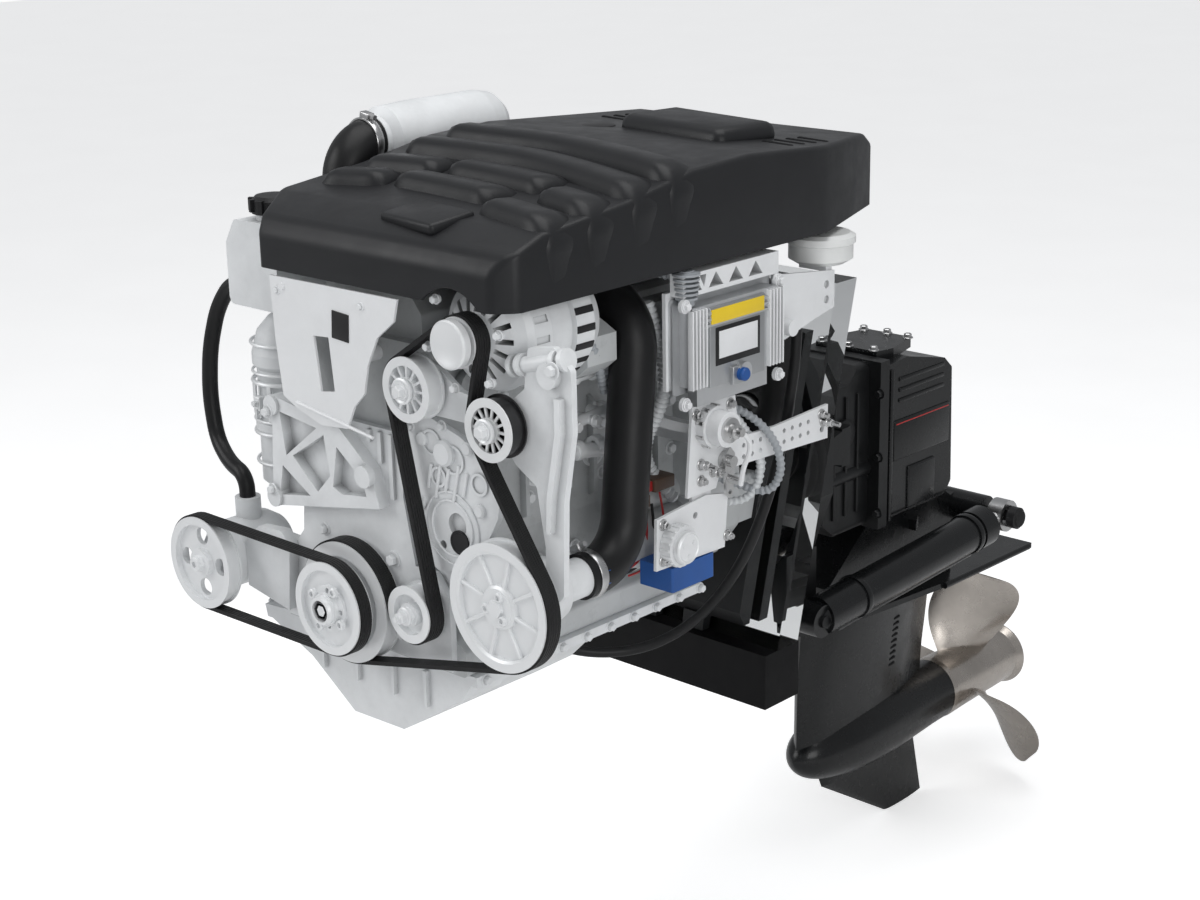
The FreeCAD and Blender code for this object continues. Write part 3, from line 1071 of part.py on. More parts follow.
def make_rams():
    """The two trim cylinders and their rods, drawn along the line between their pins."""
    run, rise = float(D.anchor_y - D.ram_y), float(D.anchor_z - D.ram_z)
    reach = math.hypot(run, rise)
    slope = math.degrees(math.atan2(rise, run))
    radius, length = float(D.ram_radius), float(D.ram_long)
    bore = float(D.hinge_pin_radius) + float(D.running_fit)
    barrels, rods = [], []
    for side in (-1, 1):
        x = side * float(D.ram_x)
        eye = Part.makeCylinder(24, 36, Vector(x - 18, 0, 0), Vector(1, 0, 0))
        body = Part.makeCylinder(radius, length - 10, Vector(x, 10, 0), Vector(0, 1, 0))
        nose = Part.makeCone(20, radius, 24, Vector(x, 0, 0), Vector(0, 1, 0))
        gland = Part.makeCylinder(radius + 3, 34, Vector(x, length - 34, 0), Vector(0, 1, 0))
        line = Part.makeCylinder(7, length - 90, Vector(x, 50, -radius - 3), Vector(0, 1, 0))
        barrel = body.fuse([eye, nose, gland, line])
        barrel = barrel.cut(Part.makeCylinder(bore, 90, Vector(x - 45, 0, 0), Vector(1, 0, 0)))
        depth = length - 60
        hole = float(D.rod_radius) + float(D.running_fit)
        barrel = barrel.cut(Part.makeCylinder(hole, depth + 1, Vector(x, 60, 0), Vector(0, 1, 0)))
        barrels.append(barrel)
        rod = Part.makeCylinder(float(D.rod_radius), reach - 64 - 16, Vector(x, 64, 0),
                                Vector(0, 1, 0))
        end = Part.makeCylinder(float(D.eye_radius), 26, Vector(x - 13, reach, 0),
                                Vector(1, 0, 0))
        rod = rod.fuse(end)
        clear = float(D.anchor_radius) + float(D.eye_clear)
        rod = rod.cut(Part.makeCylinder(clear, 60, Vector(x - 30, reach, 0), Vector(1, 0, 0)))
        rods.append(rod)
    for name, solids in (("trim_cylinders", barrels), ("trim_rods", rods)):
        item = shaped(name, Part.makeCompound(solids), 0, D.ram_y, D.ram_z)
        item.Placement.Rotation = FreeCAD.Rotation(Vector(1, 0, 0), slope)


def blade_section(radius, chord, thick, skew, back):
    """A closed foil across a blade, set at the propeller's pitch for its radius."""
    pitch = math.atan2(float(D.prop_pitch), 2 * math.pi * radius)
    spots = [(-0.5, 0.0), (-0.42, 0.45), (-0.2, 0.9), (0.05, 1.0), (0.3, 0.7), (0.5, 0.12)]
    lean = skew / radius
    outward = Vector(math.sin(lean), 0, math.cos(lean))
    across = Vector(math.cos(lean), 0, -math.sin(lean))
    faces = []
    for sign in (1, -1):
        row = []
        for u, w in spots:
            chordwise, off = u * chord, sign * w * thick / 2
            swing = chordwise * math.cos(pitch) - off * math.sin(pitch)
            aft = chordwise * math.sin(pitch) + off * math.cos(pitch) + back
            row.append(outward * radius + across * swing + Vector(0, aft, 0))
        faces.append(row)
    edges = []
    for points in (faces[0], list(reversed(faces[1]))):
        curve = Part.BSplineCurve()
        curve.interpolate(points)
        edges.append(curve.toShape())
    edges.insert(1, Part.LineSegment(faces[0][-1], faces[1][-1]).toShape())
    return Part.Wire(edges)


def make_propeller():
    """The three-bladed propeller on its shaft, with the nut that holds it."""
    hub, length = float(D.prop_hub_radius), float(D.prop_hub_long)
    tip = float(D.prop_radius)
    gap = float(D.travel_gap)
    start = float(D.torpedo_tail) + gap
    spots = [(hub - 14, 84, 11, 0, 92), (hub + 4, 96, 10, 2, 92), (tip * 0.5, 126, 8, 6, 96),
             (tip * 0.72, 138, 6, 16, 102), (tip * 0.9, 112, 4, 30, 108), (tip * 0.985, 52, 3, 42, 112)]
    blade = Part.makeLoft([blade_section(*spot) for spot in spots], True, False)
    outer = Part.makePolygon([Vector(r, y, 0) for r, y in (
        (0, 0), (hub + 1, 0), (hub + 2, 10), (hub, 60), (hub - 3, length - 14),
        (hub + 3, length - 2), (hub + 3, length), (hub - 3, length), (hub - 8, length - 60),
        (24, length - 60), (24, length - 40), (0, length - 40), (0, 0))])
    barrel = Part.Face(outer).revolve(Vector(), Vector(0, 1, 0), 360)
    wheel = barrel
    for turn in range(3):
        wing = blade.copy()
        wing.rotate(Vector(), Vector(0, 1, 0), 120 * turn)
        wheel = wheel.fuse(wing)
    shaft = float(D.prop_shaft_radius) + float(D.running_fit)
    wheel = wheel.cut(Part.makeCylinder(shaft, length, Vector(), Vector(0, 1, 0)))
    shaped("propeller", wheel.removeSplitter(), 0, start, D.shaft_z)
    rod = Piece("propeller_shaft", 0, start, D.shaft_z)
    stub = D.prop_hub_long - 40
    rod.turn("XY", [(0, -50), (D.prop_shaft_radius, -50), (D.prop_shaft_radius, stub),
                    (22, stub), (22, stub + 5), (12, stub + 6), (12, stub + 24), (0, stub + 24)])
    rod.pad("XZ", [hexagon(0, 0, Dim.of(32))], stub + 5, stub + 20)


def make_lids():
    """The oil filler cap and the dipstick, which lift out of the engine."""
    low = D.block_deck + D.gasket_thick + D.head_high + D.cam_cover_high
    cap = Piece("oil_filler_cap", 58, 330, low + D.seat_gap)
    cap.turn("XZ", [(0, 0), (22, 0), (22, 12), (18, 15), (0, 15)])
    wing = cap.pad("XY", [box_loop(20, -3, 25, 3)], 1, 11)
    cap.around(wing, 8, "Z")


def make_slack_cable():
    """The long black cable that hangs from the stern end down under the pan."""
    shaped("slack_cable", tube(CABLE, D.cable_radius))


def build():
    """Make every sub-part, check it and write it out."""
    make_belt_drive()
    make_crank()
    make_block()
    make_head()
    make_pan()
    make_front()
    make_alternator()
    make_pumps()
    make_starboard()
    make_port_side()
    make_controls()
    make_cover()
    make_stand()
    make_gimbal()
    make_bell()
    make_drive()
    make_gearcase()
    make_rams()
    make_propeller()
    make_lids()
    make_slack_cable()
    doc.recompute()
    failed = [o.Name for o in doc.Objects if "Invalid" in o.State or "Error" in o.State]
    bad = [p.Label for p in PIECES if p.Shape.isNull() or not p.Shape.isValid()]
    if failed or bad:
        raise RuntimeError(f"failed objects {failed}, bad shapes {bad}")
    os.makedirs("parts", exist_ok=True)
    for piece in PIECES:
        piece.Shape.exportStep(f"parts/{piece.Label}.step")
        print(piece.Label, len(piece.Shape.Solids), round(piece.Shape.Volume / 1000, 1))


build()
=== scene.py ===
"""Marine diesel engine with its sterndrive: finishes, small pieces, light and camera.

Lengths inside the classes are millimetres from the crankshaft's axis at the front face of the
small crank pulley, with +X to port, +Y aft and +Z up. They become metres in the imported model's
frame when a piece is finished.
"""

import logging
import math
from dataclasses import dataclass
from enum import Enum

import bmesh
import bpy
from mathutils import Matrix, Vector


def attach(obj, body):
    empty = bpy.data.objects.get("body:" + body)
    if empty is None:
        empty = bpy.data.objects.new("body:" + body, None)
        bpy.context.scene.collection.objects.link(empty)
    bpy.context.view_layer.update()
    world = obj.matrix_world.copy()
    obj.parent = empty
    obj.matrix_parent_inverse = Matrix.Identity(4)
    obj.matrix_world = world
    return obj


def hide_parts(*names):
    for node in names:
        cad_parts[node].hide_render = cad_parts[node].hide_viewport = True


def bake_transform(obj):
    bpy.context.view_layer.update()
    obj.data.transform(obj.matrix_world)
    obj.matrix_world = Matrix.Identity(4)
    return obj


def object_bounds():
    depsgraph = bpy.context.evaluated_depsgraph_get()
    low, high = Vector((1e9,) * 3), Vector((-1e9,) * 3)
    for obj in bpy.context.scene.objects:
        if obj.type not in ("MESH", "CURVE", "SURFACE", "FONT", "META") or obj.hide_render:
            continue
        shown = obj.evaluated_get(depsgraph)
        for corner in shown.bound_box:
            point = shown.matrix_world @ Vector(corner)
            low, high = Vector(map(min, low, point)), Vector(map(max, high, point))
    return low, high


LOG = logging.getLogger("marine_diesel")
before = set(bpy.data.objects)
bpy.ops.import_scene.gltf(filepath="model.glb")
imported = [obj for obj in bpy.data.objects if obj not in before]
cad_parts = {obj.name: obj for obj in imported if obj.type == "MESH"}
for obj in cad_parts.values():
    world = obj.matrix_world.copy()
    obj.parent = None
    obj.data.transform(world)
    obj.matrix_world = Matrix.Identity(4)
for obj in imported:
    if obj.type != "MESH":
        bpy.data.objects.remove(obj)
CAD_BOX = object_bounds()

MILLIMETRE = 0.001
CRANK_AFT = -626.0
CRANK_HEIGHT = 277.0
SHARP = math.radians(32)


def at(x: float, y: float, z: float) -> Vector:
    """Place of a point given in millimetres from the crank.

    Args:
        x: Distance to port.
        y: Distance aft of the small crank pulley's front face.
        z: Height above the crankshaft's axis.

    Returns:
        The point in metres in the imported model's frame.
    """
    return Vector((x, y + CRANK_AFT, z + CRANK_HEIGHT)) * MILLIMETRE


class Axis(Enum):
    """A direction that a turned or drawn-out form runs along."""

    X = "X"
    Y = "Y"
    Z = "Z"

    def turn(self) -> Matrix:
        """Matrix that brings +Z onto this axis."""
        if self is Axis.X:
            return Matrix.Rotation(math.pi / 2, 4, "Y")
        if self is Axis.Y:
            return Matrix.Rotation(-math.pi / 2, 4, "X")
        return Matrix.Identity(4)


class Nodes:
    """A material's node tree, with short calls to add nodes and join them."""

    def __init__(self, name: str) -> None:
        """Make an empty material with its principled shader.

        Args:
            name: The material's name.
        """
        self.material = bpy.data.materials.new(name)
        self.material.use_nodes = True
        self.tree = self.material.node_tree
        self.shader = self.tree.nodes["Principled BSDF"]
        self.coordinates = self.add("ShaderNodeTexCoord").outputs["Object"]

    def add(self, kind: str, **settings: object) -> bpy.types.Node:
        """Add a node.

        Args:
            kind: The node's type.
            **settings: Attributes, or input sockets by name with spaces as underscores.

        Returns:
            The new node.
        """
        node = self.tree.nodes.new(kind)
        for key, value in settings.items():
            if hasattr(node, key):
                setattr(node, key, value)
            else:
                node.inputs[key.replace("_", " ")].default_value = value
        return node

    def join(self, source: bpy.types.NodeSocket, target: bpy.types.NodeSocket) -> None:
        """Link one socket to another."""
        self.tree.links.new(source, target)

    def noise(self, scale: float, detail: float = 4.0, rough: float = 0.6,
              vector: bpy.types.NodeSocket | None = None) -> bpy.types.NodeSocket:
        """A noise pattern.

        Args:
            scale: Cells per metre.
            detail: Octaves of finer noise.
            rough: How strong each finer octave is.
            vector: Coordinates, or None for plain object coordinates.

        Returns:
            The noise's factor socket.
        """
        node = self.add("ShaderNodeTexNoise", Scale=scale, Detail=detail, Roughness=rough)
        self.join(vector or self.coordinates, node.inputs["Vector"])
        return node.outputs["Fac"]

    def ramp(self, factor: bpy.types.NodeSocket, low: float, high: float,
             first: tuple[float, ...], last: tuple[float, ...]) -> bpy.types.NodeSocket:
        """Colours between two places of a factor.

        Args:
            factor: The socket to spread.
            low: Factor at which the first colour ends.
            high: Factor at which the last colour starts.
            first: Colour below.
            last: Colour above.

        Returns:
            The ramp's colour socket.
        """
        node = self.add("ShaderNodeValToRGB")
        node.color_ramp.elements[0].position = low
        node.color_ramp.elements[1].position = high
        node.color_ramp.elements[0].color = (*first[:3], 1.0)
        node.color_ramp.elements[1].color = (*last[:3], 1.0)
        self.join(factor, node.inputs["Fac"])
        return node.outputs["Color"]

    def spread(self, factor: bpy.types.NodeSocket, low: float, high: float,
               first: float, last: float) -> bpy.types.NodeSocket:
        """Map a factor between two places onto two numbers."""
        node = self.add("ShaderNodeMapRange")
        for key, value in (("From Min", low), ("From Max", high), ("To Min", first), ("To Max", last)):
            node.inputs[key].default_value = value
        self.join(factor, node.inputs["Value"])
        return node.outputs["Result"]

    def blend(self, factor: bpy.types.NodeSocket, first: object, last: object,
              way: str = "MIX") -> bpy.types.NodeSocket:
        """Mix two colours by a factor.

        Args:
            factor: How much of the last colour shows.
            first: Colour socket or colour.
            last: Colour socket or colour.
            way: The mix node's blend type.

        Returns:
            The mixed colour socket.
        """
        node = self.add("ShaderNodeMix", data_type="RGBA", blend_type=way)
        self.join(factor, node.inputs[0])
        for value, socket in ((first, node.inputs[6]), (last, node.inputs[7])):
            if isinstance(value, bpy.types.NodeSocket):
                self.join(value, socket)
            else:
                socket.default_value = (*value[:3], 1.0)
        return node.outputs[2]

    def bump(self, height: bpy.types.NodeSocket, depth: float, strength: float = 1.0) -> None:
        """Raise the surface by a height, over any bump that it has already.

        Args:
            height: The height's socket.
            depth: Height in millimetres of a full step.
            strength: How much of the bump shows.
        """
        node = self.add("ShaderNodeBump", Strength=strength, Distance=depth * MILLIMETRE)
        self.join(height, node.inputs["Height"])
        normal = self.shader.inputs["Normal"]
        if normal.is_linked:
            self.join(normal.links[0].from_socket, node.inputs["Normal"])
        self.join(node.outputs["Normal"], normal)


@dataclass(frozen=True)
class Finish:
    """A painted, cast or moulded surface with its grain, mottling and grime, and painted shade in recesses.
    """

    name: str
    slot: str
    colour: tuple[float, float, float]
    rough: float = 0.4
    metal: float = 0.0
    coat: float = 0.0
    coat_rough: float = 0.1
    mottle: float = 0.06
    grain: float = 900.0
    grain_depth: float = 0.05
    dents: float = 60.0
    dent_depth: float = 0.0
    grime: float = 0.0
    # strength of the painted shade: colour darkened in recesses by ambient occlusion
    painted_recess_shade: float = 0.0
    specular: float = 0.5
    ribs: float = 0.0
    rear_colour: tuple[float, float, float] | None = None
    split: float = 0.0

    def material(self) -> bpy.types.Material:
        """The finish's material, made once and then shared."""
        known = bpy.data.materials.get(self.name)
        if known:
            return known
        nodes = Nodes(self.name)
        shader = nodes.shader
        shader.inputs["Metallic"].default_value = self.metal
        shader.inputs["Coat Weight"].default_value = self.coat
        shader.inputs["Coat Roughness"].default_value = self.coat_rough
        low = tuple(c * (1 - self.mottle) for c in self.colour)
        high = tuple(min(1.0, c * (1 + self.mottle)) for c in self.colour)
        cloud = nodes.noise(14.0, 6.0, 0.62)
        colour = nodes.ramp(cloud, 0.35, 0.65, low, high)
        if self.grime:
            patch = nodes.spread(nodes.noise(38.0, 8.0, 0.7), 0.54, 0.72, 0.0, self.grime)
            colour = nodes.blend(patch, colour, tuple(c * 0.45 for c in self.colour))
        # painted shade: ambient occlusion darkens the colour in recesses, where shade falls
        if self.painted_recess_shade:
            cavity = nodes.add("ShaderNodeAmbientOcclusion", only_local=True, samples=6)
            cavity.inputs["Distance"].default_value = 0.022
            depth = nodes.spread(cavity.outputs["AO"], 0.25, 0.9, self.painted_recess_shade, 0.0)
            colour = nodes.blend(depth, colour, tuple(c * 0.34 for c in self.colour))
        if self.rear_colour:
            parts = nodes.add("ShaderNodeSeparateXYZ")
            nodes.join(nodes.coordinates, parts.inputs[0])
            place = (self.split + CRANK_AFT) * MILLIMETRE
            behind = nodes.spread(parts.outputs["Y"], place, place + 0.0002, 0.0, 1.0)
            colour = nodes.blend(behind, colour, self.rear_colour)
        nodes.join(colour, shader.inputs["Base Color"])
        shader.inputs["Specular IOR Level"].default_value = self.specular
        if self.ribs:
            wave = nodes.add("ShaderNodeTexWave", wave_type="BANDS", bands_direction="Y",
                             Scale=self.ribs)
            nodes.join(nodes.coordinates, wave.inputs["Vector"])
            nodes.bump(wave.outputs["Fac"], 0.9)
        fine = nodes.noise(self.grain, 2.0, 0.5)
        sheen = nodes.spread(nodes.noise(26.0, 5.0, 0.6), 0.3, 0.7, -0.06, 0.08)
        total = nodes.add("ShaderNodeMath", operation="ADD", use_clamp=True)
        total.inputs[1].default_value = self.rough
        nodes.join(sheen, total.inputs[0])
        nodes.join(total.outputs[0], shader.inputs["Roughness"])
        if self.dent_depth:
            nodes.bump(nodes.noise(self.dents, 3.0, 0.5), self.dent_depth)
        nodes.bump(fine, self.grain_depth)
        return nodes.material


ENGINE_WHITE = (0.74, 0.755, 0.765)
PAINT = Finish("cast_paint", "engine_paint", ENGINE_WHITE, rough=0.38, coat=0.15, coat_rough=0.25,
               grain=1400.0, grain_depth=0.03, dents=160.0, dent_depth=0.12, grime=0.1, painted_recess_shade=0.8)
# darker copy of the white engine paint: painted shade for the block, head and manifolds that sit in recesses
SHADED_PAINT_COPY = Finish("engine_paint_with_painted_shade", "engine_paint", (0.50, 0.515, 0.52), rough=0.45, coat=0.05,
                    grain=1200.0, grain_depth=0.05, dents=120.0, dent_depth=0.2, grime=0.35, painted_recess_shade=0.9)
SMOOTH_PAINT = Finish("pulley_paint", "pulley_paint", (0.75, 0.76, 0.765), rough=0.34, coat=0.2,
                      mottle=0.03, grain=900.0, grain_depth=0.012, grime=0.05, painted_recess_shade=0.5)
SHEET_PAINT = Finish("sheet_paint", "engine_paint", (0.78, 0.79, 0.80), rough=0.36, coat=0.2,
                     mottle=0.03, grain=1100.0, grain_depth=0.012, dents=30.0, dent_depth=0.1,
                     grime=0.04, painted_recess_shade=0.45)
BELT = Finish("belt_rubber", "black_rubber", (0.011, 0.011, 0.0115), rough=0.55, mottle=0.15,
              grain=1500.0, grain_depth=0.04, specular=0.25, ribs=90.0)
TENSIONER = Finish("tensioner_rim", "pulley_paint", (0.75, 0.76, 0.765), rough=0.34, coat=0.1,
                   mottle=0.03, grain=900.0, grain_depth=0.012, painted_recess_shade=0.5,
                   rear_colour=(0.012, 0.012, 0.013), split=34.0)
DARK_CAST = Finish("dark_cast", "cast_metal", (0.10, 0.10, 0.105), rough=0.55, metal=0.6,
                   mottle=0.2, grain=700.0, grain_depth=0.12, dents=200.0, dent_depth=0.2)
COVER = Finish("moulded_cover", "cover_plastic", (0.017, 0.0175, 0.019), rough=0.38, specular=0.24,
               mottle=0.05, grain=2600.0, grain_depth=0.045)
DRIVE_BLACK = Finish("drive_paint", "black_paint", (0.006, 0.0065, 0.007), rough=0.26, coat=0.12,
                     coat_rough=0.1, specular=0.32, mottle=0.1, grain=500.0, grain_depth=0.02, dents=90.0,
                     dent_depth=0.1)
CAST_BLACK = Finish("cast_black", "black_paint", (0.007, 0.0075, 0.008), rough=0.4, specular=0.32,
                    mottle=0.12, grain=900.0, grain_depth=0.08, dents=180.0,
                    dent_depth=0.15)
FLAT_BLACK = Finish("flat_black", "black_paint", (0.004, 0.004, 0.0045), rough=0.5, specular=0.12,
                    mottle=0.15, grain=900.0, grain_depth=0.05)
RUBBER = Finish("boot_rubber", "black_rubber", (0.012, 0.012, 0.0125), rough=0.62, specular=0.25, mottle=0.18,
                grain=1500.0, grain_depth=0.06, dents=45.0, dent_depth=0.12)
SHINY_RUBBER = Finish("hose_rubber", "black_rubber", (0.009, 0.009, 0.0095), rough=0.40, mottle=0.18,
                      specular=0.28, grain=700.0, grain_depth=0.04, dents=60.0, dent_depth=0.25)
BLACK_PLASTIC = Finish("moulded_black", "black_plastic", (0.014, 0.014, 0.015), rough=0.42,
                       specular=0.3, mottle=0.1, grain=1800.0, grain_depth=0.03)
PLAIN_STEEL = Finish("bright_steel", "polished_steel", (0.55, 0.55, 0.55), rough=0.28, metal=1.0,
                     mottle=0.08, grain=1200.0, grain_depth=0.02)
ALUMINIUM = Finish("cast_aluminium", "unit_aluminium", (0.62, 0.63, 0.64), rough=0.38, metal=0.85,
                   mottle=0.06, grain=1600.0, grain_depth=0.05, painted_recess_shade=0.4)
TANK = Finish("tank_wall", "tank_plastic", (0.78, 0.79, 0.78), rough=0.35, mottle=0.04,
              grain=900.0, grain_depth=0.02, painted_recess_shade=0.3)
BLUE = Finish("blue_plastic", "relay_blue", (0.006, 0.075, 0.30), rough=0.35, mottle=0.08,
              grain=900.0, grain_depth=0.02)
GREY_CONDUIT = Finish("grey_conduit", "conduit_plastic", (0.34, 0.36, 0.38), rough=0.45, mottle=0.06,
                      grain=900.0, grain_depth=0.02, painted_recess_shade=0.7)
WHITE_CONDUIT = Finish("white_conduit", "conduit_plastic", (0.66, 0.68, 0.69), rough=0.42, mottle=0.05,
                       grain=900.0, grain_depth=0.02, painted_recess_shade=0.7)
PLATE_ALUMINIUM = Finish("unit_face_metal", "unit_aluminium", (0.45, 0.46, 0.47), rough=0.34, metal=0.9,
                         mottle=0.08, grain=1400.0, grain_depth=0.02)
YELLOW = Finish("yellow_stripe", "unit_aluminium", (0.82, 0.58, 0.02), rough=0.4, mottle=0.04,
                grain=900.0, grain_depth=0.01)
RED = Finish("red_plastic", "relay_blue", (0.42, 0.02, 0.02), rough=0.4, mottle=0.08, grain=900.0,
             grain_depth=0.01)
BROWN_PLASTIC = Finish("brown_plastic", "black_plastic", (0.10, 0.06, 0.04), rough=0.5, mottle=0.12,
                       grain=900.0, grain_depth=0.02)
BRUSHED = Finish("brushed_propeller", "polished_steel", (0.50, 0.46, 0.42), rough=0.27, metal=1.0,
                 mottle=0.10, grain=500.0, grain_depth=0.02)


@dataclass(frozen=True)
class ClearBoard:
    """Clear acrylic with polished faces and brighter edges."""

    name: str = "clear_acrylic"
    slot: str = "clear_board"

    def material(self) -> bpy.types.Material:
        """The board's material, made once and then shared."""
        known = bpy.data.materials.get(self.name)
        if known:
            return known
        nodes = Nodes(self.name)
        shader = nodes.shader
        shader.inputs["Base Color"].default_value = (0.97, 0.985, 0.985, 1.0)
        shader.inputs["Transmission Weight"].default_value = 1.0
        shader.inputs["IOR"].default_value = 1.16
        haze = nodes.spread(nodes.noise(60.0, 6.0, 0.7), 0.4, 0.8, 0.0, 0.02)
        nodes.join(haze, shader.inputs["Roughness"])
        nodes.bump(nodes.noise(22.0, 2.0, 0.5), 0.04)
        return nodes.material


ACRYLIC = ClearBoard()


class Wardrobe:
    """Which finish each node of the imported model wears."""

    FINISHES: dict[str, Finish | ClearBoard] = {
        "engine_cover": COVER, "transom_board": ACRYLIC, "relay_box": BLUE,
        "reservoir": TANK, "control_unit": ALUMINIUM, "alternator": PAINT,
        "crankshaft": DARK_CAST, "turbocharger": PAINT, "slack_cable": SHINY_RUBBER,
        "propeller": BRUSHED, "propeller_shaft": PLAIN_STEEL, "trim_rods": PLAIN_STEEL,
        "anchor_pin": BLACK_PLASTIC, "throttle_lever": PLAIN_STEEL,
        "coolant_cap": BLACK_PLASTIC, "oil_filler_cap": BLACK_PLASTIC,
        "gearcase": DRIVE_BLACK, "driveshaft_housing": DRIVE_BLACK, "bell_housing": CAST_BLACK,
        "gimbal_ring": CAST_BLACK, "gimbal_housing": CAST_BLACK, "trim_cylinders": DRIVE_BLACK,
        "inner_transom_plate": CAST_BLACK, "stand_channel": FLAT_BLACK,
        "ribbed_belt": BELT, "steering_belt": BELT, "drive_bellows": RUBBER,
        "coolant_hose": SHINY_RUBBER, "air_hose": SHINY_RUBBER, "elbow_hose": SHINY_RUBBER,
        "steering_hose": SHINY_RUBBER,
        # these recessed parts wear the darker copy of the white paint, as painted shade
        "engine_block": SHADED_PAINT_COPY, "cylinder_head": SHADED_PAINT_COPY, "intake_manifold": SHADED_PAINT_COPY,
        "exhaust_manifold": SHADED_PAINT_COPY, "starter_motor": SHADED_PAINT_COPY, "cam_cover": SHADED_PAINT_COPY,
        "flywheel_housing": SHADED_PAINT_COPY, "front_guard": SHEET_PAINT, "control_unit_bracket": SHEET_PAINT,
        "throttle_plate": SHEET_PAINT, "timing_cover": PAINT,
    }

    def dress(self) -> None:
        """Give every node its finish."""
        for name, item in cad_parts.items():
            if name == "tensioner_pulley":
                finish = TENSIONER
            elif name.endswith("_pulley") or name.startswith("idler") or name == "crank_damper":
                finish = SMOOTH_PAINT
            else:
                finish = self.FINISHES.get(name, PAINT)
            item.data.materials.clear()
            item.data.materials.append(finish.material())


@dataclass
class Studio:
    """Floor, lamps, world and the camera at the photograph's angle."""

    place: tuple[float, float, float] = (1.784905, -2.075346, 1.172394)
    azimuth: float = 42.9
    elevation: float = 17.3
    roll: float = -1.13
    lens: float = 63.6
    floor_drop: float = 0.004

    def floor(self) -> None:
        """A wide pale floor under the lowest piece."""
        low, _ = CAD_BOX
        bm = bmesh.new()
        bmesh.ops.create_grid(bm, x_segments=1, y_segments=1, size=14.0)
        bmesh.ops.translate(bm, verts=bm.verts, vec=(0, 0, low[2] - self.floor_drop))
        mesh = bpy.data.meshes.new("floor")
        bm.to_mesh(mesh)
        item = bpy.data.objects.new("floor", mesh)
        bpy.context.scene.collection.objects.link(item)
        nodes = Nodes("floor_paper")
        nodes.shader.inputs["Roughness"].default_value = 0.9
        shade = nodes.ramp(nodes.noise(3.0), 0.3, 0.7, (0.86, 0.86, 0.86), (0.9, 0.9, 0.9))
        nodes.join(shade, nodes.shader.inputs["Base Color"])
        path = nodes.add("ShaderNodeLightPath")
        glow = nodes.spread(path.outputs["Is Camera Ray"], 0.0, 1.0, 0.0, 0.5)
        nodes.shader.inputs["Emission Color"].default_value = (1.0, 1.0, 1.0, 1.0)
        nodes.join(glow, nodes.shader.inputs["Emission Strength"])
        mesh.materials.append(nodes.material)

    def world(self) -> None:
        """A white surround to the eye, and a softer grey one as light."""
        world = bpy.data.worlds.new("surround")
        bpy.context.scene.world = world
        world.use_nodes = True
        tree = world.node_tree
        tree.nodes.clear()
        path = tree.nodes.new("ShaderNodeLightPath")
        light = tree.nodes.new("ShaderNodeBackground")
        light.inputs["Color"].default_value = (0.95, 0.97, 1.0, 1.0)
        light.inputs["Strength"].default_value = 0.36
        seen = tree.nodes.new("ShaderNodeBackground")
        seen.inputs["Color"].default_value = (1.0, 1.0, 1.0, 1.0)
        seen.inputs["Strength"].default_value = 1.0
        mix = tree.nodes.new("ShaderNodeMixShader")
        out = tree.nodes.new("ShaderNodeOutputWorld")
        tree.links.new(path.outputs["Is Camera Ray"], mix.inputs["Fac"])
        tree.links.new(light.outputs[0], mix.inputs[1])
        tree.links.new(seen.outputs[0], mix.inputs[2])
        tree.links.new(mix.outputs[0], out.inputs["Surface"])

    def lamp(self, name: str, place: tuple[float, float, float], size: float, power: float) -> None:
        """A square soft lamp that points at the engine's middle.

        Args:
            name: The lamp's name.
            place: Where it hangs, in metres.
            size: Its side, in metres.
            power: Its power in watts.
        """
        data = bpy.data.lights.new(name, "AREA")
        data.shape = "SQUARE"
        data.size = size
        data.energy = power
        item = bpy.data.objects.new(name, data)
        item.location = place
        way = Vector((0.0, 0.1, 0.35)) - Vector(place)
        item.rotation_euler = way.to_track_quat("-Z", "Y").to_euler()
        bpy.context.scene.collection.objects.link(item)

    def camera(self) -> None:
        """The camera, turned and rolled as it was for the photograph."""
        a, e, r = (math.radians(v) for v in (self.azimuth, self.elevation, self.roll))
        back = Vector((math.sin(a) * math.cos(e), -math.cos(a) * math.cos(e), math.sin(e)))
        level = Vector((math.cos(a), math.sin(a), 0.0))
        above = back.cross(level)
        right = level * math.cos(r) + above * math.sin(r)
        up = back.cross(right)
        data = bpy.data.cameras.new("camera")
        data.lens = self.lens
        data.sensor_width = 36.0
        data.clip_end = 60.0
        item = bpy.data.objects.new("camera", data)
        turn = Matrix((right, up, back)).transposed().to_4x4()
        item.matrix_world = Matrix.Translation(self.place) @ turn
        bpy.context.scene.collection.objects.link(item)
        bpy.context.scene.camera = item

    def build(self) -> None:
        """Set up everything that isn't part of the object."""
        bpy.context.scene.view_settings.view_transform = "Standard"
        self.floor()
        self.world()
        self.lamp("overhead", (0.3, -0.2, 3.2), 2.6, 54.0)
        self.lamp("front_left", (-1.9, -2.6, 1.9), 1.8, 34.0)
        self.lamp("front_right", (2.9, -1.6, 1.3), 1.8, 32.0)
        self.camera()


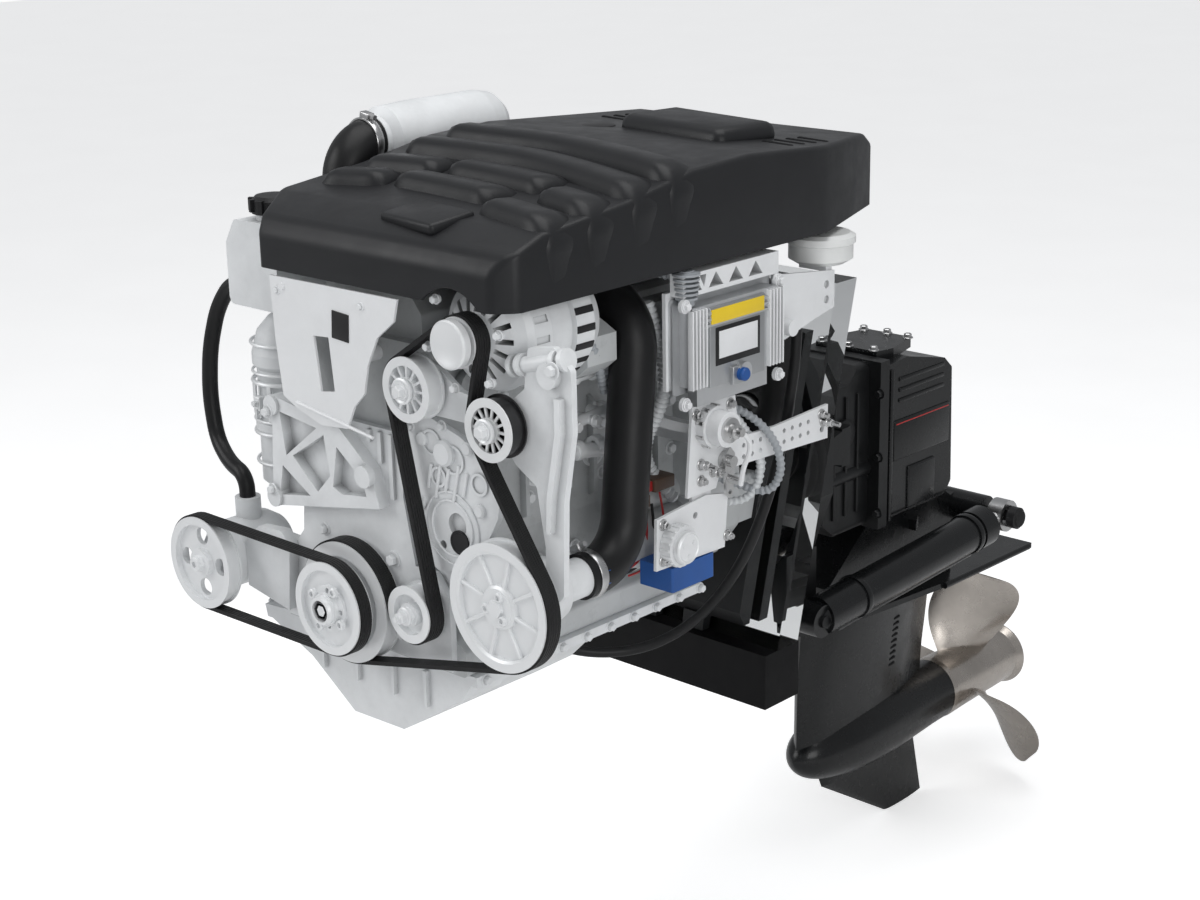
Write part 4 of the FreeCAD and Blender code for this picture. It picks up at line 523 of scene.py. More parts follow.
class Form:
    """A mesh made by operators, in millimetres from the crank, that becomes one piece."""

    def __init__(self) -> None:
        """Start an empty mesh."""
        self.bm = bmesh.new()

    def _moved(self, verts: list[bmesh.types.BMVert], centre: tuple[float, float, float],
               turn: Matrix) -> None:
        """Turn some corners about the origin and then shift them to a centre."""
        bmesh.ops.transform(self.bm, matrix=Matrix.Translation(centre) @ turn, verts=verts)

    def turned(self, profile: list[tuple[float, float]], centre: tuple[float, float, float],
               axis: Axis | Matrix = Axis.Y, steps: int = 36) -> "Form":
        """Spin a profile a full turn.

        Args:
            profile: Points as radius and distance along the axis.
            centre: The axis's zero point.
            axis: The axis, or a matrix that brings +Z onto it.
            steps: Faces round the turn.

        Returns:
            The form itself.
        """
        verts = [self.bm.verts.new((radius, 0.0, along)) for radius, along in profile]
        edges = [self.bm.edges.new(pair) for pair in zip(verts, verts[1:])]
        made = bmesh.ops.spin(self.bm, geom=verts + edges, cent=(0, 0, 0), axis=(0, 0, 1),
                              dvec=(0, 0, 0), angle=math.tau, steps=steps, use_merge=True,
                              use_normal_flip=False, use_duplicate=False)
        ring = set(verts) | {g for g in made["geom_last"] if isinstance(g, bmesh.types.BMVert)}
        todo, seen = list(ring), set(ring)
        while todo:
            for edge in todo.pop().link_edges:
                for vert in edge.verts:
                    if vert not in seen:
                        seen.add(vert)
                        todo.append(vert)
        self._moved(list(seen), centre, axis.turn() if isinstance(axis, Axis) else axis)
        return self

    def drawn(self, outline: list[tuple[float, float]], axis: Axis, low: float,
              high: float) -> "Form":
        """Draw an outline out along an axis.

        Args:
            outline: Points (y, z) for X, (x, z) for Y or (x, y) for Z.
            axis: The axis that the form runs along.
            low: Where it starts on that axis.
            high: Where it ends.

        Returns:
            The form itself.
        """
        def point(u: float, v: float) -> tuple[float, float, float]:
            """A point of the first face."""
            return {Axis.X: (low, u, v), Axis.Y: (u, low, v), Axis.Z: (u, v, low)}[axis]

        verts = [self.bm.verts.new(point(u, v)) for u, v in outline]
        face = self.bm.faces.new(verts)
        made = bmesh.ops.extrude_face_region(self.bm, geom=[face], use_keep_orig=True)
        far = [g for g in made["geom"] if isinstance(g, bmesh.types.BMVert)]
        way = {Axis.X: (1, 0, 0), Axis.Y: (0, 1, 0), Axis.Z: (0, 0, 1)}[axis]
        bmesh.ops.translate(self.bm, verts=far, vec=Vector(way) * (high - low))
        return self

    def block(self, low: tuple[float, float, float], high: tuple[float, float, float],
              round_off: float = 0.0, turn: Matrix | None = None) -> "Form":
        """A block between two corners, with its edges rounded off.

        Args:
            low: The lowest corner.
            high: The highest corner.
            round_off: The edges' radius.
            turn: A turn about the block's own middle.

        Returns:
            The form itself.
        """
        size = Vector(high) - Vector(low)
        middle = (Vector(high) + Vector(low)) / 2
        made = bmesh.ops.create_cube(self.bm, size=1.0, matrix=Matrix.Diagonal((*size, 1.0)))
        verts = made["verts"]
        if round_off:
            edges = list({e for v in verts for e in v.link_edges})
            made = bmesh.ops.bevel(self.bm, geom=edges, offset=round_off, segments=3,
                                   profile=0.5, affect="EDGES", material=-1)
            verts = list({v for f in made["faces"] for v in f.verts})
            verts += [v for f in made["faces"] for e in f.edges for v in e.verts]
            verts = list(self._island(verts))
        self._moved(verts, tuple(middle), turn or Matrix.Identity(4))
        return self

    def _island(self, verts: list[bmesh.types.BMVert]) -> set[bmesh.types.BMVert]:
        """All corners joined to the given ones."""
        todo, seen = list(verts), set(verts)
        while todo:
            for edge in todo.pop().link_edges:
                for vert in edge.verts:
                    if vert not in seen:
                        seen.add(vert)
                        todo.append(vert)
        return seen

    def rod(self, start: tuple[float, float, float], end: tuple[float, float, float],
            radius: float, far_radius: float | None = None, steps: int = 16) -> "Form":
        """A round or tapered rod between two points."""
        first, last = Vector(start), Vector(end)
        way = last - first
        turn = way.to_track_quat("Z", "Y").to_matrix().to_4x4()
        place = Matrix.Translation((first + last) / 2) @ turn
        bmesh.ops.create_cone(self.bm, cap_ends=True, segments=steps, radius1=radius,
                              radius2=radius if far_radius is None else far_radius,
                              depth=way.length, matrix=place)
        return self

    def bolt(self, place: tuple[float, float, float], way: tuple[float, float, float],
             across: float = 10.0, high: float = 6.0, washer: float = 0.0) -> "Form":
        """A hexagon head with a chamfered top, on a washer.

        Args:
            place: The seat's centre.
            way: The direction that the head stands out in.
            across: The hexagon's size across flats.
            high: The head's height.
            washer: The washer's radius, or 0 for a flange as wide as the head.

        Returns:
            The form itself.
        """
        turn = Vector(way).to_track_quat("Z", "Y").to_matrix().to_4x4()
        wide = across / math.sqrt(3)
        ring = washer or wide * 1.12
        self.turned([(0, 0), (ring, 0), (ring, 1.0), (ring - 0.5, 1.5), (0, 1.5)], place, turn, 20)
        lift = Matrix.Translation(place) @ turn
        bmesh.ops.create_cone(self.bm, cap_ends=True, segments=6, radius1=wide, radius2=wide,
                              depth=high - 1.5, matrix=lift @ Matrix.Translation((0, 0, (high + 1.5) / 2)))
        bmesh.ops.create_cone(self.bm, cap_ends=True, segments=6, radius1=wide, radius2=wide * 0.82,
                              depth=high * 0.16,
                              matrix=lift @ Matrix.Translation((0, 0, high + high * 0.08)))
        return self

    def socket_bolt(self, place: tuple[float, float, float], way: tuple[float, float, float],
                    radius: float = 5.0, high: float = 6.0) -> "Form":
        """A round head with a hexagon socket in its top."""
        turn = Vector(way).to_track_quat("Z", "Y").to_matrix().to_4x4()
        self.turned([(0, 0), (radius, 0), (radius, high - 1), (radius - 1, high),
                     (radius * 0.55, high), (radius * 0.55, high * 0.45), (0, high * 0.45)],
                    place, turn, 20)
        return self

    def ring(self, centre: tuple[float, float, float], way: tuple[float, float, float],
             radius: float, thick: float, steps: int = 32, round_steps: int = 10) -> "Form":
        """A round ring such as an O-ring or a bead."""
        turn = Vector(way).to_track_quat("Z", "Y").to_matrix().to_4x4()
        profile = [(radius + thick * math.cos(math.tau * k / round_steps),
                    thick * math.sin(math.tau * k / round_steps)) for k in range(round_steps + 1)]
        return self.turned(profile, centre, turn, steps)

    def along(self, path: list[Vector], radii: list[float], steps: int = 12,
              capped: bool = True) -> "Form":
        """A tube whose rings follow a path, each with its own radius.

        Args:
            path: Points of the middle line.
            radii: One radius for each point, repeated when there are fewer.
            steps: Faces round the tube.
            capped: Whether both ends are closed.

        Returns:
            The form itself.
        """
        made = bmesh.ops.create_circle(self.bm, cap_ends=False, segments=steps, radius=1.0)
        ring = made["verts"]
        heading = (path[1] - path[0]).normalized()
        turn = heading.to_track_quat("Z", "Y")
        self._ring_at(ring, path[0], turn, radii[0])
        edges = list({e for v in ring for e in v.link_edges})
        if capped:
            bmesh.ops.contextual_create(self.bm, geom=edges)
        for index in range(1, len(path)):
            behind = path[index] - path[index - 1]
            ahead = path[min(index + 1, len(path) - 1)] - path[index]
            heading_now = (behind.normalized() + ahead.normalized())
            heading_now = heading_now.normalized() if heading_now.length > 1e-6 else heading
            turn = heading.rotation_difference(heading_now) @ turn
            heading = heading_now
            made = bmesh.ops.extrude_edge_only(self.bm, edges=edges)
            ring = [g for g in made["geom"] if isinstance(g, bmesh.types.BMVert)]
            edges = [g for g in made["geom"] if isinstance(g, bmesh.types.BMEdge)
                     and all(v in set(ring) for v in g.verts)]
            self._lay(ring, path[index - 1], path[index], turn, radii[index % len(radii)])
        if capped:
            bmesh.ops.contextual_create(self.bm, geom=edges)
        return self

    def band(self, path: list[tuple[Vector, Vector, float]],
             profile: list[tuple[float, float]]) -> "Form":
        """A bar whose section follows a path over a surface.

        Args:
            path: Places with the surface's outward direction and a scale of the section.
            profile: The section's corners, across and outward from the path.

        Returns:
            The form itself.
        """
        made = bmesh.ops.create_circle(self.bm, cap_ends=False, segments=len(profile), radius=1.0)
        ring = made["verts"]
        edges = list({e for v in ring for e in v.link_edges})
        for index, (place, outward, scale) in enumerate(path):
            if index:
                order = {tuple(v.co): k for k, v in enumerate(ring)}
                made = bmesh.ops.extrude_edge_only(self.bm, edges=edges)
                ring = [g for g in made["geom"] if isinstance(g, bmesh.types.BMVert)]
                edges = [g for g in made["geom"] if isinstance(g, bmesh.types.BMEdge)
                         and all(v in set(ring) for v in g.verts)]
                ring.sort(key=lambda v: order[tuple(v.co)])
            before = path[max(index - 1, 0)][0]
            after = path[min(index + 1, len(path) - 1)][0]
            across = (after - before).normalized().cross(outward).normalized()
            low = profile[0][1]
            for vert, (side, high) in zip(ring, profile):
                reach = across * side * (0.7 + 0.3 * scale)
                vert.co = place + reach + outward * (low + (high - low) * scale)
            if index in (0, len(path) - 1):
                bmesh.ops.contextual_create(self.bm, geom=edges)
        return self

    def _ring_at(self, ring: list[bmesh.types.BMVert], centre: Vector, turn: object,
                 radius: float) -> None:
        """Lay a unit ring at a place."""
        for vert in ring:
            vert.co = centre + turn @ (vert.co * radius)

    def _lay(self, ring: list[bmesh.types.BMVert], before: Vector, centre: Vector, turn: object,
             radius: float) -> None:
        """Lay an extruded ring at its own place, in step with the ring before it."""
        inverse = turn.inverted()
        for vert in ring:
            spoke = inverse @ (vert.co - before)
            spoke.z = 0.0
            vert.co = centre + turn @ (spoke.normalized() * radius)

    def made(self, name: str, body: str | None, finish: object,
             sharp: float = SHARP) -> bpy.types.Object:
        """Turn the form into a piece that rides on a body.

        Args:
            name: The piece's name.
            body: The body that it rides on, or None to leave it on no body.
            finish: Its finish, whose material the piece wears.
            sharp: Edges above this angle stay sharp.

        Returns:
            The new object.
        """
        bmesh.ops.remove_doubles(self.bm, verts=self.bm.verts, dist=0.005)
        bmesh.ops.recalc_face_normals(self.bm, faces=self.bm.faces)
        for vert in self.bm.verts:
            vert.co = at(*vert.co)
        for face in self.bm.faces:
            face.smooth = True
        for edge in self.bm.edges:
            edge.smooth = len(edge.link_faces) == 2 and edge.calc_face_angle(0) < sharp
        mesh = bpy.data.meshes.new(name)
        self.bm.to_mesh(mesh)
        self.bm.free()
        mesh.materials.append(finish.material())
        item = bpy.data.objects.new(name, mesh)
        bpy.context.scene.collection.objects.link(item)
        if body:
            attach(item, body)
        LOG.info("made %s", name)
        return item


def smooth_line(points: list[tuple[float, float, float]], spacing: float) -> list[Vector]:
    """Evenly spaced points along a smooth curve through given points.

    Args:
        points: The points that the curve is drawn by.
        spacing: The distance between the points that come back.

    Returns:
        Points along the curve, in the same units.
    """
    data = bpy.data.curves.new("guide", "CURVE")
    data.dimensions = "3D"
    data.resolution_u = 24
    spline = data.splines.new("NURBS")
    spline.points.add(len(points) - 1)
    for target, source in zip(spline.points, points):
        target.co = (*source, 1.0)
    spline.order_u = 3
    spline.use_endpoint_u = True
    item = bpy.data.objects.new("guide", data)
    mesh = bpy.data.meshes.new_from_object(item)
    line = [v.co.copy() for v in mesh.vertices]
    bpy.data.objects.remove(item)
    bpy.data.curves.remove(data)
    bpy.data.meshes.remove(mesh)
    gone = [0.0]
    for first, last in zip(line, line[1:]):
        gone.append(gone[-1] + (last - first).length)
    count = max(2, round(gone[-1] / spacing))
    out, k = [], 0
    for step in range(count + 1):
        want = gone[-1] * step / count
        while k < len(gone) - 2 and gone[k + 1] < want:
            k += 1
        share = (want - gone[k]) / max(gone[k + 1] - gone[k], 1e-9)
        out.append(line[k].lerp(line[k + 1], min(1.0, share)))
    return out


def conduit(name: str, points: list[tuple[float, float, float]], radius: float, body: str,
            finish: object, pitch: float = 7.0) -> bpy.types.Object:
    """A corrugated loom tube along a smooth line."""
    path = smooth_line(points, pitch / 2)
    return Form().along(path, [radius * 0.7, radius], 14).made(name, body, finish, math.radians(24))


def lead(name: str, points: list[tuple[float, float, float]], radius: float, body: str,
         finish: object) -> bpy.types.Object:
    """A plain wire or small pipe along a smooth line."""
    path = smooth_line(points, max(2.0, radius * 1.2))
    return Form().along(path, [radius], 10).made(name, body, finish, math.radians(70))


def seat_on(node: str, start: tuple[float, float, float],
            way: tuple[float, float, float]) -> tuple[float, float, float]:
    """Where a straight line first meets a node.

    Args:
        node: The node's name.
        start: The line's start, in millimetres from the crank.
        way: The line's direction.

    Returns:
        The meeting point in millimetres, or the start where the line misses.
    """
    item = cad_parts.get(node)
    if item is None:
        return start
    found, place, _, _ = item.ray_cast(at(*start), Vector(way))
    if not found:
        LOG.warning("no surface of %s from %s", node, start)
        return start
    spot = place / MILLIMETRE
    return (spot.x, spot.y - CRANK_AFT, spot.z - CRANK_HEIGHT)


def round_spots(x: float, z: float, radius: float, count: int,
                first: float = 0.0) -> list[tuple[float, float]]:
    """Evenly spaced places on a circle in the XZ plane."""
    return [(x + radius * math.sin(math.radians(first) + math.tau * k / count),
             z + radius * math.cos(math.radians(first) + math.tau * k / count))
            for k in range(count)]


FRONT = (0.0, -1.0, 0.0)
AFT = (0.0, 1.0, 0.0)
PORT = (1.0, 0.0, 0.0)
STARBOARD = (-1.0, 0.0, 0.0)
UP = (0.0, 0.0, 1.0)
DOWN = (0.0, 0.0, -1.0)


@dataclass
class BeltDrive:
    """Caps, bolts and ribs on the fronts of the pulleys."""

    crank: tuple[float, float] = (0.0, 0.0)
    water: tuple[float, float] = (254.0, 57.0)
    steering: tuple[float, float] = (-239.0, 0.0)
    alternator: tuple[float, float] = (207.0, 344.0)
    upper: tuple[float, float] = (124.0, 278.0)
    tensioner: tuple[float, float] = (250.0, 256.0)
    lower: tuple[float, float] = (111.0, 13.0)

    def crank_front(self) -> None:
        """A recessed hexagon and four button bolts on the small crank pulley."""
        x, z = self.crank
        form = Form()
        for bx, bz in round_spots(x, z, 27, 4, 30):
            seat = seat_on("crank_pulley", (bx, -40, bz), AFT)
            form.socket_bolt(seat, FRONT, 6.0, 5.5)
        _, y, _ = seat_on("crank_pulley", (x + 17, -40, z), AFT)
        form.turned([(0, y + 2), (12, y + 2), (13, y - 7), (16, y - 7), (18, y - 4), (18, y + 1)],
                    (x, 0, z), Axis.Y, 40)
        form.made("crank_bolts", "crank", SMOOTH_PAINT)
        centre = Form()
        centre.turned([(0, y - 2), (11.8, y - 2), (11.8, y - 5), (7, y - 5), (7, y - 3), (0, y - 3)],
                      (x, 0, z), Axis.Y, 6)
        centre.made("crank_centre", "crank", DARK_CAST)

    def water_front(self) -> None:
        """A dished plate with eight ribs, an inner disc and three button bolts."""
        x, z = self.water
        _, face, _ = seat_on("water_pump_pulley", (x + 33, -40, z), AFT)
        plate = Form()
        plate.turned([(14, face - 1.5), (62, face - 1.5), (62, face + 1), (14, face + 1)],
                     (x, 0, z), Axis.Y, 48)
        for k in range(8):
            angle = math.tau * (k + 0.35) / 8
            turn = Matrix.Rotation(angle, 4, "Y")
            middle = (x + 43 * math.cos(angle), z - 43 * math.sin(angle))
            plate.block((middle[0] - 20, face - 6, middle[1] - 2.2),
                        (middle[0] + 20, face + 1, middle[1] + 2.2), 1.2, turn)
        plate.turned([(0, face - 1), (0, face - 8), (22, face - 8), (25, face - 6), (25, face - 1)],
                     (x, 0, z), Axis.Y, 40)
        for bx, bz in round_spots(x, z, 15, 3, 20):
            plate.socket_bolt((bx, face - 8, bz), FRONT, 5.5, 5.0)
        plate.turned([(60, face + 1), (60, face - 7), (63, face - 9), (66, face - 7), (66, face + 1)],
                     (x, 0, z), Axis.Y, 56)
        plate.made("water_pulley_face", "water_pump_pulley_body", SMOOTH_PAINT)

    def steering_front(self) -> None:
        """A small hub with a dark hexagon socket on the steering pump's pulley."""
        x, z = self.steering
        _, y, _ = seat_on("steering_pump_pulley", (x + 4, -40, z), AFT)
        hub = Form().turned([(0, y + 1), (9, y + 1), (9, y - 3), (7, y - 4), (4, y - 4), (4, y - 1),
                             (0, y - 1)], (x, 0, z), Axis.Y, 28)
        hub.made("steering_hub", "steering_pump_pulley_body", SMOOTH_PAINT)

    def small_fronts(self) -> None:
        """The alternator's cap, the idlers' flanged bolts and inner discs, and the stud."""
        x, z = self.alternator
        cap = Form().turned([(0, 26), (0, 17), (20, 17), (22, 16), (25, 16), (27, 18), (27, 26)],
                            (x, 0, z), Axis.Y, 44)
        cap.made("alternator_cap", "alternator_pulley_body", SMOOTH_PAINT)
        for name, (x, z), body, inner in (
                ("idler_upper", self.upper, "idler_upper_body", 15),
                ("tensioner_pulley", self.tensioner, "tensioner_pulley_body", 14),
                ("idler_lower", self.lower, "idler_lower_body", 11)):
            _, y, _ = seat_on(name, (x + 5, -40, z), AFT)
            form = Form()
            form.turned([(0, y + 1), (inner, y + 1), (inner, y - 1.5), (inner - 2, y - 2.5),
                         (inner - 4, y - 1.2), (0, y - 1.2)], (x, 0, z), Axis.Y, 36)
            form.bolt((x, y - 1, z), FRONT, 13.0, 8.0, 9.5)
            if name == "idler_lower":
                form.rod((x, y - 8, z), (x, y - 16, z), 3.4, 3.0)
            form.made(f"{name}_bolt", body, SMOOTH_PAINT)

    def build(self) -> None:
        """Make every pulley front."""
        self.crank_front()
        self.water_front()
        self.steering_front()
        self.small_fronts()


@dataclass
class FrontEnd:
    """Bolts, embossed lines, plates and seams on the engine's front."""

    guard_front: float = 28.0
    canister: tuple[float, float] = (-206.0, 134.0)

    def bolts(self) -> None:
        """Flanged bolts on the brackets, plates and timing cover."""
        form = Form()
        spots = [("accessory_bracket", 40, 108, 10), ("accessory_bracket", 44, 176, 11),
                 ("accessory_bracket", -128, 206, 10), ("accessory_bracket", -128, 110, 9),
                 ("front_plate", 60, 60, 12), ("front_plate", -60, 70, 10),
                 ("front_plate", -150, 60, 10), ("front_plate", 70, -30, 10),
                 ("front_plate", 134, 70, 10), ("front_plate", 140, 190, 10),
                 ("timing_cover", 96, 80, 8), ("timing_cover", 98, 226, 8),
                 ("timing_cover", 226, 226, 8), ("timing_cover", 220, 120, 8),
                 ("timing_cover", 150, 236, 8), ("alternator_bracket", 330, 96, 10),
                 ("alternator_bracket", 328, 330, 11), ("alternator_bracket", 112, 330, 11),
                 ("water_pump", 200, 60, 9), ("water_pump", 180, 84, 8),
                 ("front_guard", -84, 360, 6), ("front_guard", 60, 362, 6),
                 ("steering_pump", -262, 40, 8), ("steering_pump", -216, 40, 8)]
        for node, x, z, across in spots:
            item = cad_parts.get(node)
            found, place, _, _ = item.ray_cast(at(x, -60, z), Vector(AFT))
            if found:
                seat = (x, place.y / MILLIMETRE - CRANK_AFT, z)
                form.bolt(seat, FRONT, across, across * 0.62, across * 0.85)
        form.made("front_bolts", "engine", PAINT)

    def timing_lines(self) -> None:
        """Embossed ribs, a boss and a hole, darkened as painted shade, on the timing cover."""
        form = Form()
        y = 58.0
        for k, x in enumerate((128, 142, 156, 170, 184)):
            low, high = (150, 196) if k % 2 else (160, 190)
            form.block((x - 2.2, y - 3, low), (x + 2.2, y, high), 1.0,
                       Matrix.Rotation(math.radians(14), 4, "Y"))
        form.turned([(0, y), (0, y - 8), (12, y - 8), (15, y - 5), (15, y)], (154, 0, 206), Axis.Y, 36)
        form.ring((160, y - 1, 120), AFT, 32, 1.6, 40)
        form.ring((160, y - 1, 120), AFT, 42, 1.4, 44)
        for x, z in ((118, 216), (190, 218), (206, 150), (112, 140)):
            form.turned([(0, y), (0, y - 5), (6, y - 5), (8, y - 3), (8, y)], (x, 0, z), Axis.Y, 24)
        form.made("timing_emboss", "engine", PAINT)
        # a black disc as painted shade of the hole
        hole = Form().turned([(0, y - 1.6), (11, y - 1.6), (12, y - 2.6), (14, y - 2.6), (14, y)],
                             (172, 0, 106), Axis.Y, 32)
        hole.made("timing_hole_shade", "engine", BLACK_PLASTIC)

    def guard(self) -> None:
        """The window's folded lip, a rivet and a bare dark plate on the front guard."""
        y = self.guard_front
        plate = Form().block((10, y - 1.2, 318), (38, y + 0.6, 350), 0.5,
                             Matrix.Rotation(math.radians(4), 4, "Y"))
        plate.made("guard_plate", "engine", BLACK_PLASTIC)
        form = Form()
        form.rod((-74, y - 2.5, 366), (-74, y + 1, 366), 4.0)
        form.rod((-60, y - 1, 232), (70, y - 1, 214), 2.0)
        form.made("guard_rivets", "engine", SHEET_PAINT)

    def canister_rings(self) -> None:
        """Seams, strap and vertical ribs round the filter canister."""
        x, y = self.canister
        form = Form()
        radius = 43.0
        for z, thick in ((112, 2.2), (150, 2.6), (166, 1.8), (214, 2.8), (226, 1.8), (262, 2.2)):
            form.ring((x, y, z), UP, radius + 0.2, thick, 48, 8)
        for k in range(10):
            angle = math.tau * k / 10
            px, py = x + (radius + 1) * math.cos(angle), y + (radius + 1) * math.sin(angle)
            form.block((px - 1.6, py - 3, 168), (px + 1.6, py + 3, 212), 0.8,
                       Matrix.Rotation(angle, 4, "Z"))
        form.block((x - 6, y - radius - 9, 184), (x + 6, y - radius, 200), 1.5)
        form.bolt((x, y - radius - 9, 192), FRONT, 7, 5)
        form.turned([(0, 300), (9, 300), (9, 308), (6, 311), (0, 311)], (x, y, 0), Axis.Z, 24)
        form.made("canister_bands", "engine", SMOOTH_PAINT)

    def alternator_parts(self) -> None:
        """The strut tube with its collars, the through bolts and the rear cap's terminals."""
        form = Form()
        form.rod((262, 62, 322), (336, 62, 340), 9.0)
        for share in (0.0, 0.16, 0.84, 1.0):
            x, z = 262 + 74 * share, 322 + 18 * share
            form.rod((x - 3, 62, z - 0.7), (x + 3, 62, z + 0.7), 12.5, None, 24)
        for x, z in round_spots(207, 344, 56, 6, 15):
            form.rod((x, 40, z), (x, 44, z), 5.0)
            form.bolt((x, 41, z), FRONT, 8, 6, 6)
        for x, z in ((190, 360), (226, 356), (214, 322)):
            form.rod((x, 190, z), (x, 206, z), 5.0)
            form.bolt((x, 206, z), AFT, 8, 5, 6)
        form.made("alternator_parts", "engine", PAINT)
        # black blocks in the housing's slots, painted shade of the openings
        gaps = Form()
        for k in range(20):
            angle = math.tau * k / 20
            x, z = 207 + 63.6 * math.cos(angle), 344 + 63.6 * math.sin(angle)
            turn = Matrix.Rotation(-angle, 4, "Y")
            gaps.block((x - 1.5, 148, z - 4), (x + 1.5, 176, z + 4), 0.8, turn)
        gaps.made("alternator_slot_shade", "engine", BLACK_PLASTIC)

    def build(self) -> None:
        """Make everything on the front."""
        self.alternator_parts()
        self.bolts()
        self.timing_lines()
        self.guard()
        self.canister_rings()


@dataclass
class HoseClamps:
    """Worm-drive bands on the hoses' ends."""

    wide: float = 11.0

    def clamp(self, name: str, place: tuple[float, float, float],
              way: tuple[float, float, float], radius: float, screw: float) -> None:
        """One band with its screw housing.

        Args:
            name: The piece's name.
            place: The band's middle.
            way: The hose's direction there.
            radius: The hose's radius.
            screw: Angle of the screw round the hose, in degrees.
        """
        turn = Vector(way).to_track_quat("Z", "Y").to_matrix().to_4x4()
        half = self.wide / 2
        form = Form()
        form.turned([(radius - 0.8, -half), (radius + 1.0, -half), (radius + 1.6, -half + 1),
                     (radius + 1.6, half - 1), (radius + 1.0, half), (radius - 0.8, half)],
                    place, turn, 40)
        spin = Matrix.Rotation(math.radians(screw), 4, "Z")
        across = Matrix.Translation(place) @ turn @ spin
        middle = across @ Vector((radius + 4.5, 0, 0))
        lie = turn @ spin
        form.block(tuple(middle - Vector((4, 8, half))), tuple(middle + Vector((4, 8, half))), 1.2, lie)
        start = across @ Vector((radius + 5.0, 6, 0))
        end = across @ Vector((radius + 5.0, 15, 0))
        form.rod(tuple(start), tuple(end), 3.6, None, 6)
        form.made(name, "engine", PLAIN_STEEL)

    def build(self) -> None:
        """Put a band on each hose end."""
        self.clamp("main_hose_clamp", (250, 178, 53), AFT, 27.2, 60)
        self.clamp("main_hose_clamp_top", (150, 288, 344), PORT, 27.2, 60)
        self.clamp("air_clamp_top", (-200, 272, 486), AFT, 29.2, 100)
        self.clamp("air_clamp_low", (-124, 288, 343), AFT, 29.2, 120)
        self.clamp("elbow_clamp_top", (184, 490, 300), AFT, 23.2, 30)
        self.clamp("elbow_clamp_low", (104, 636, 110), AFT, 23.2, 30)
        self.clamp("exhaust_clamp", (-124, 418, 343), AFT, 31.2, 120)


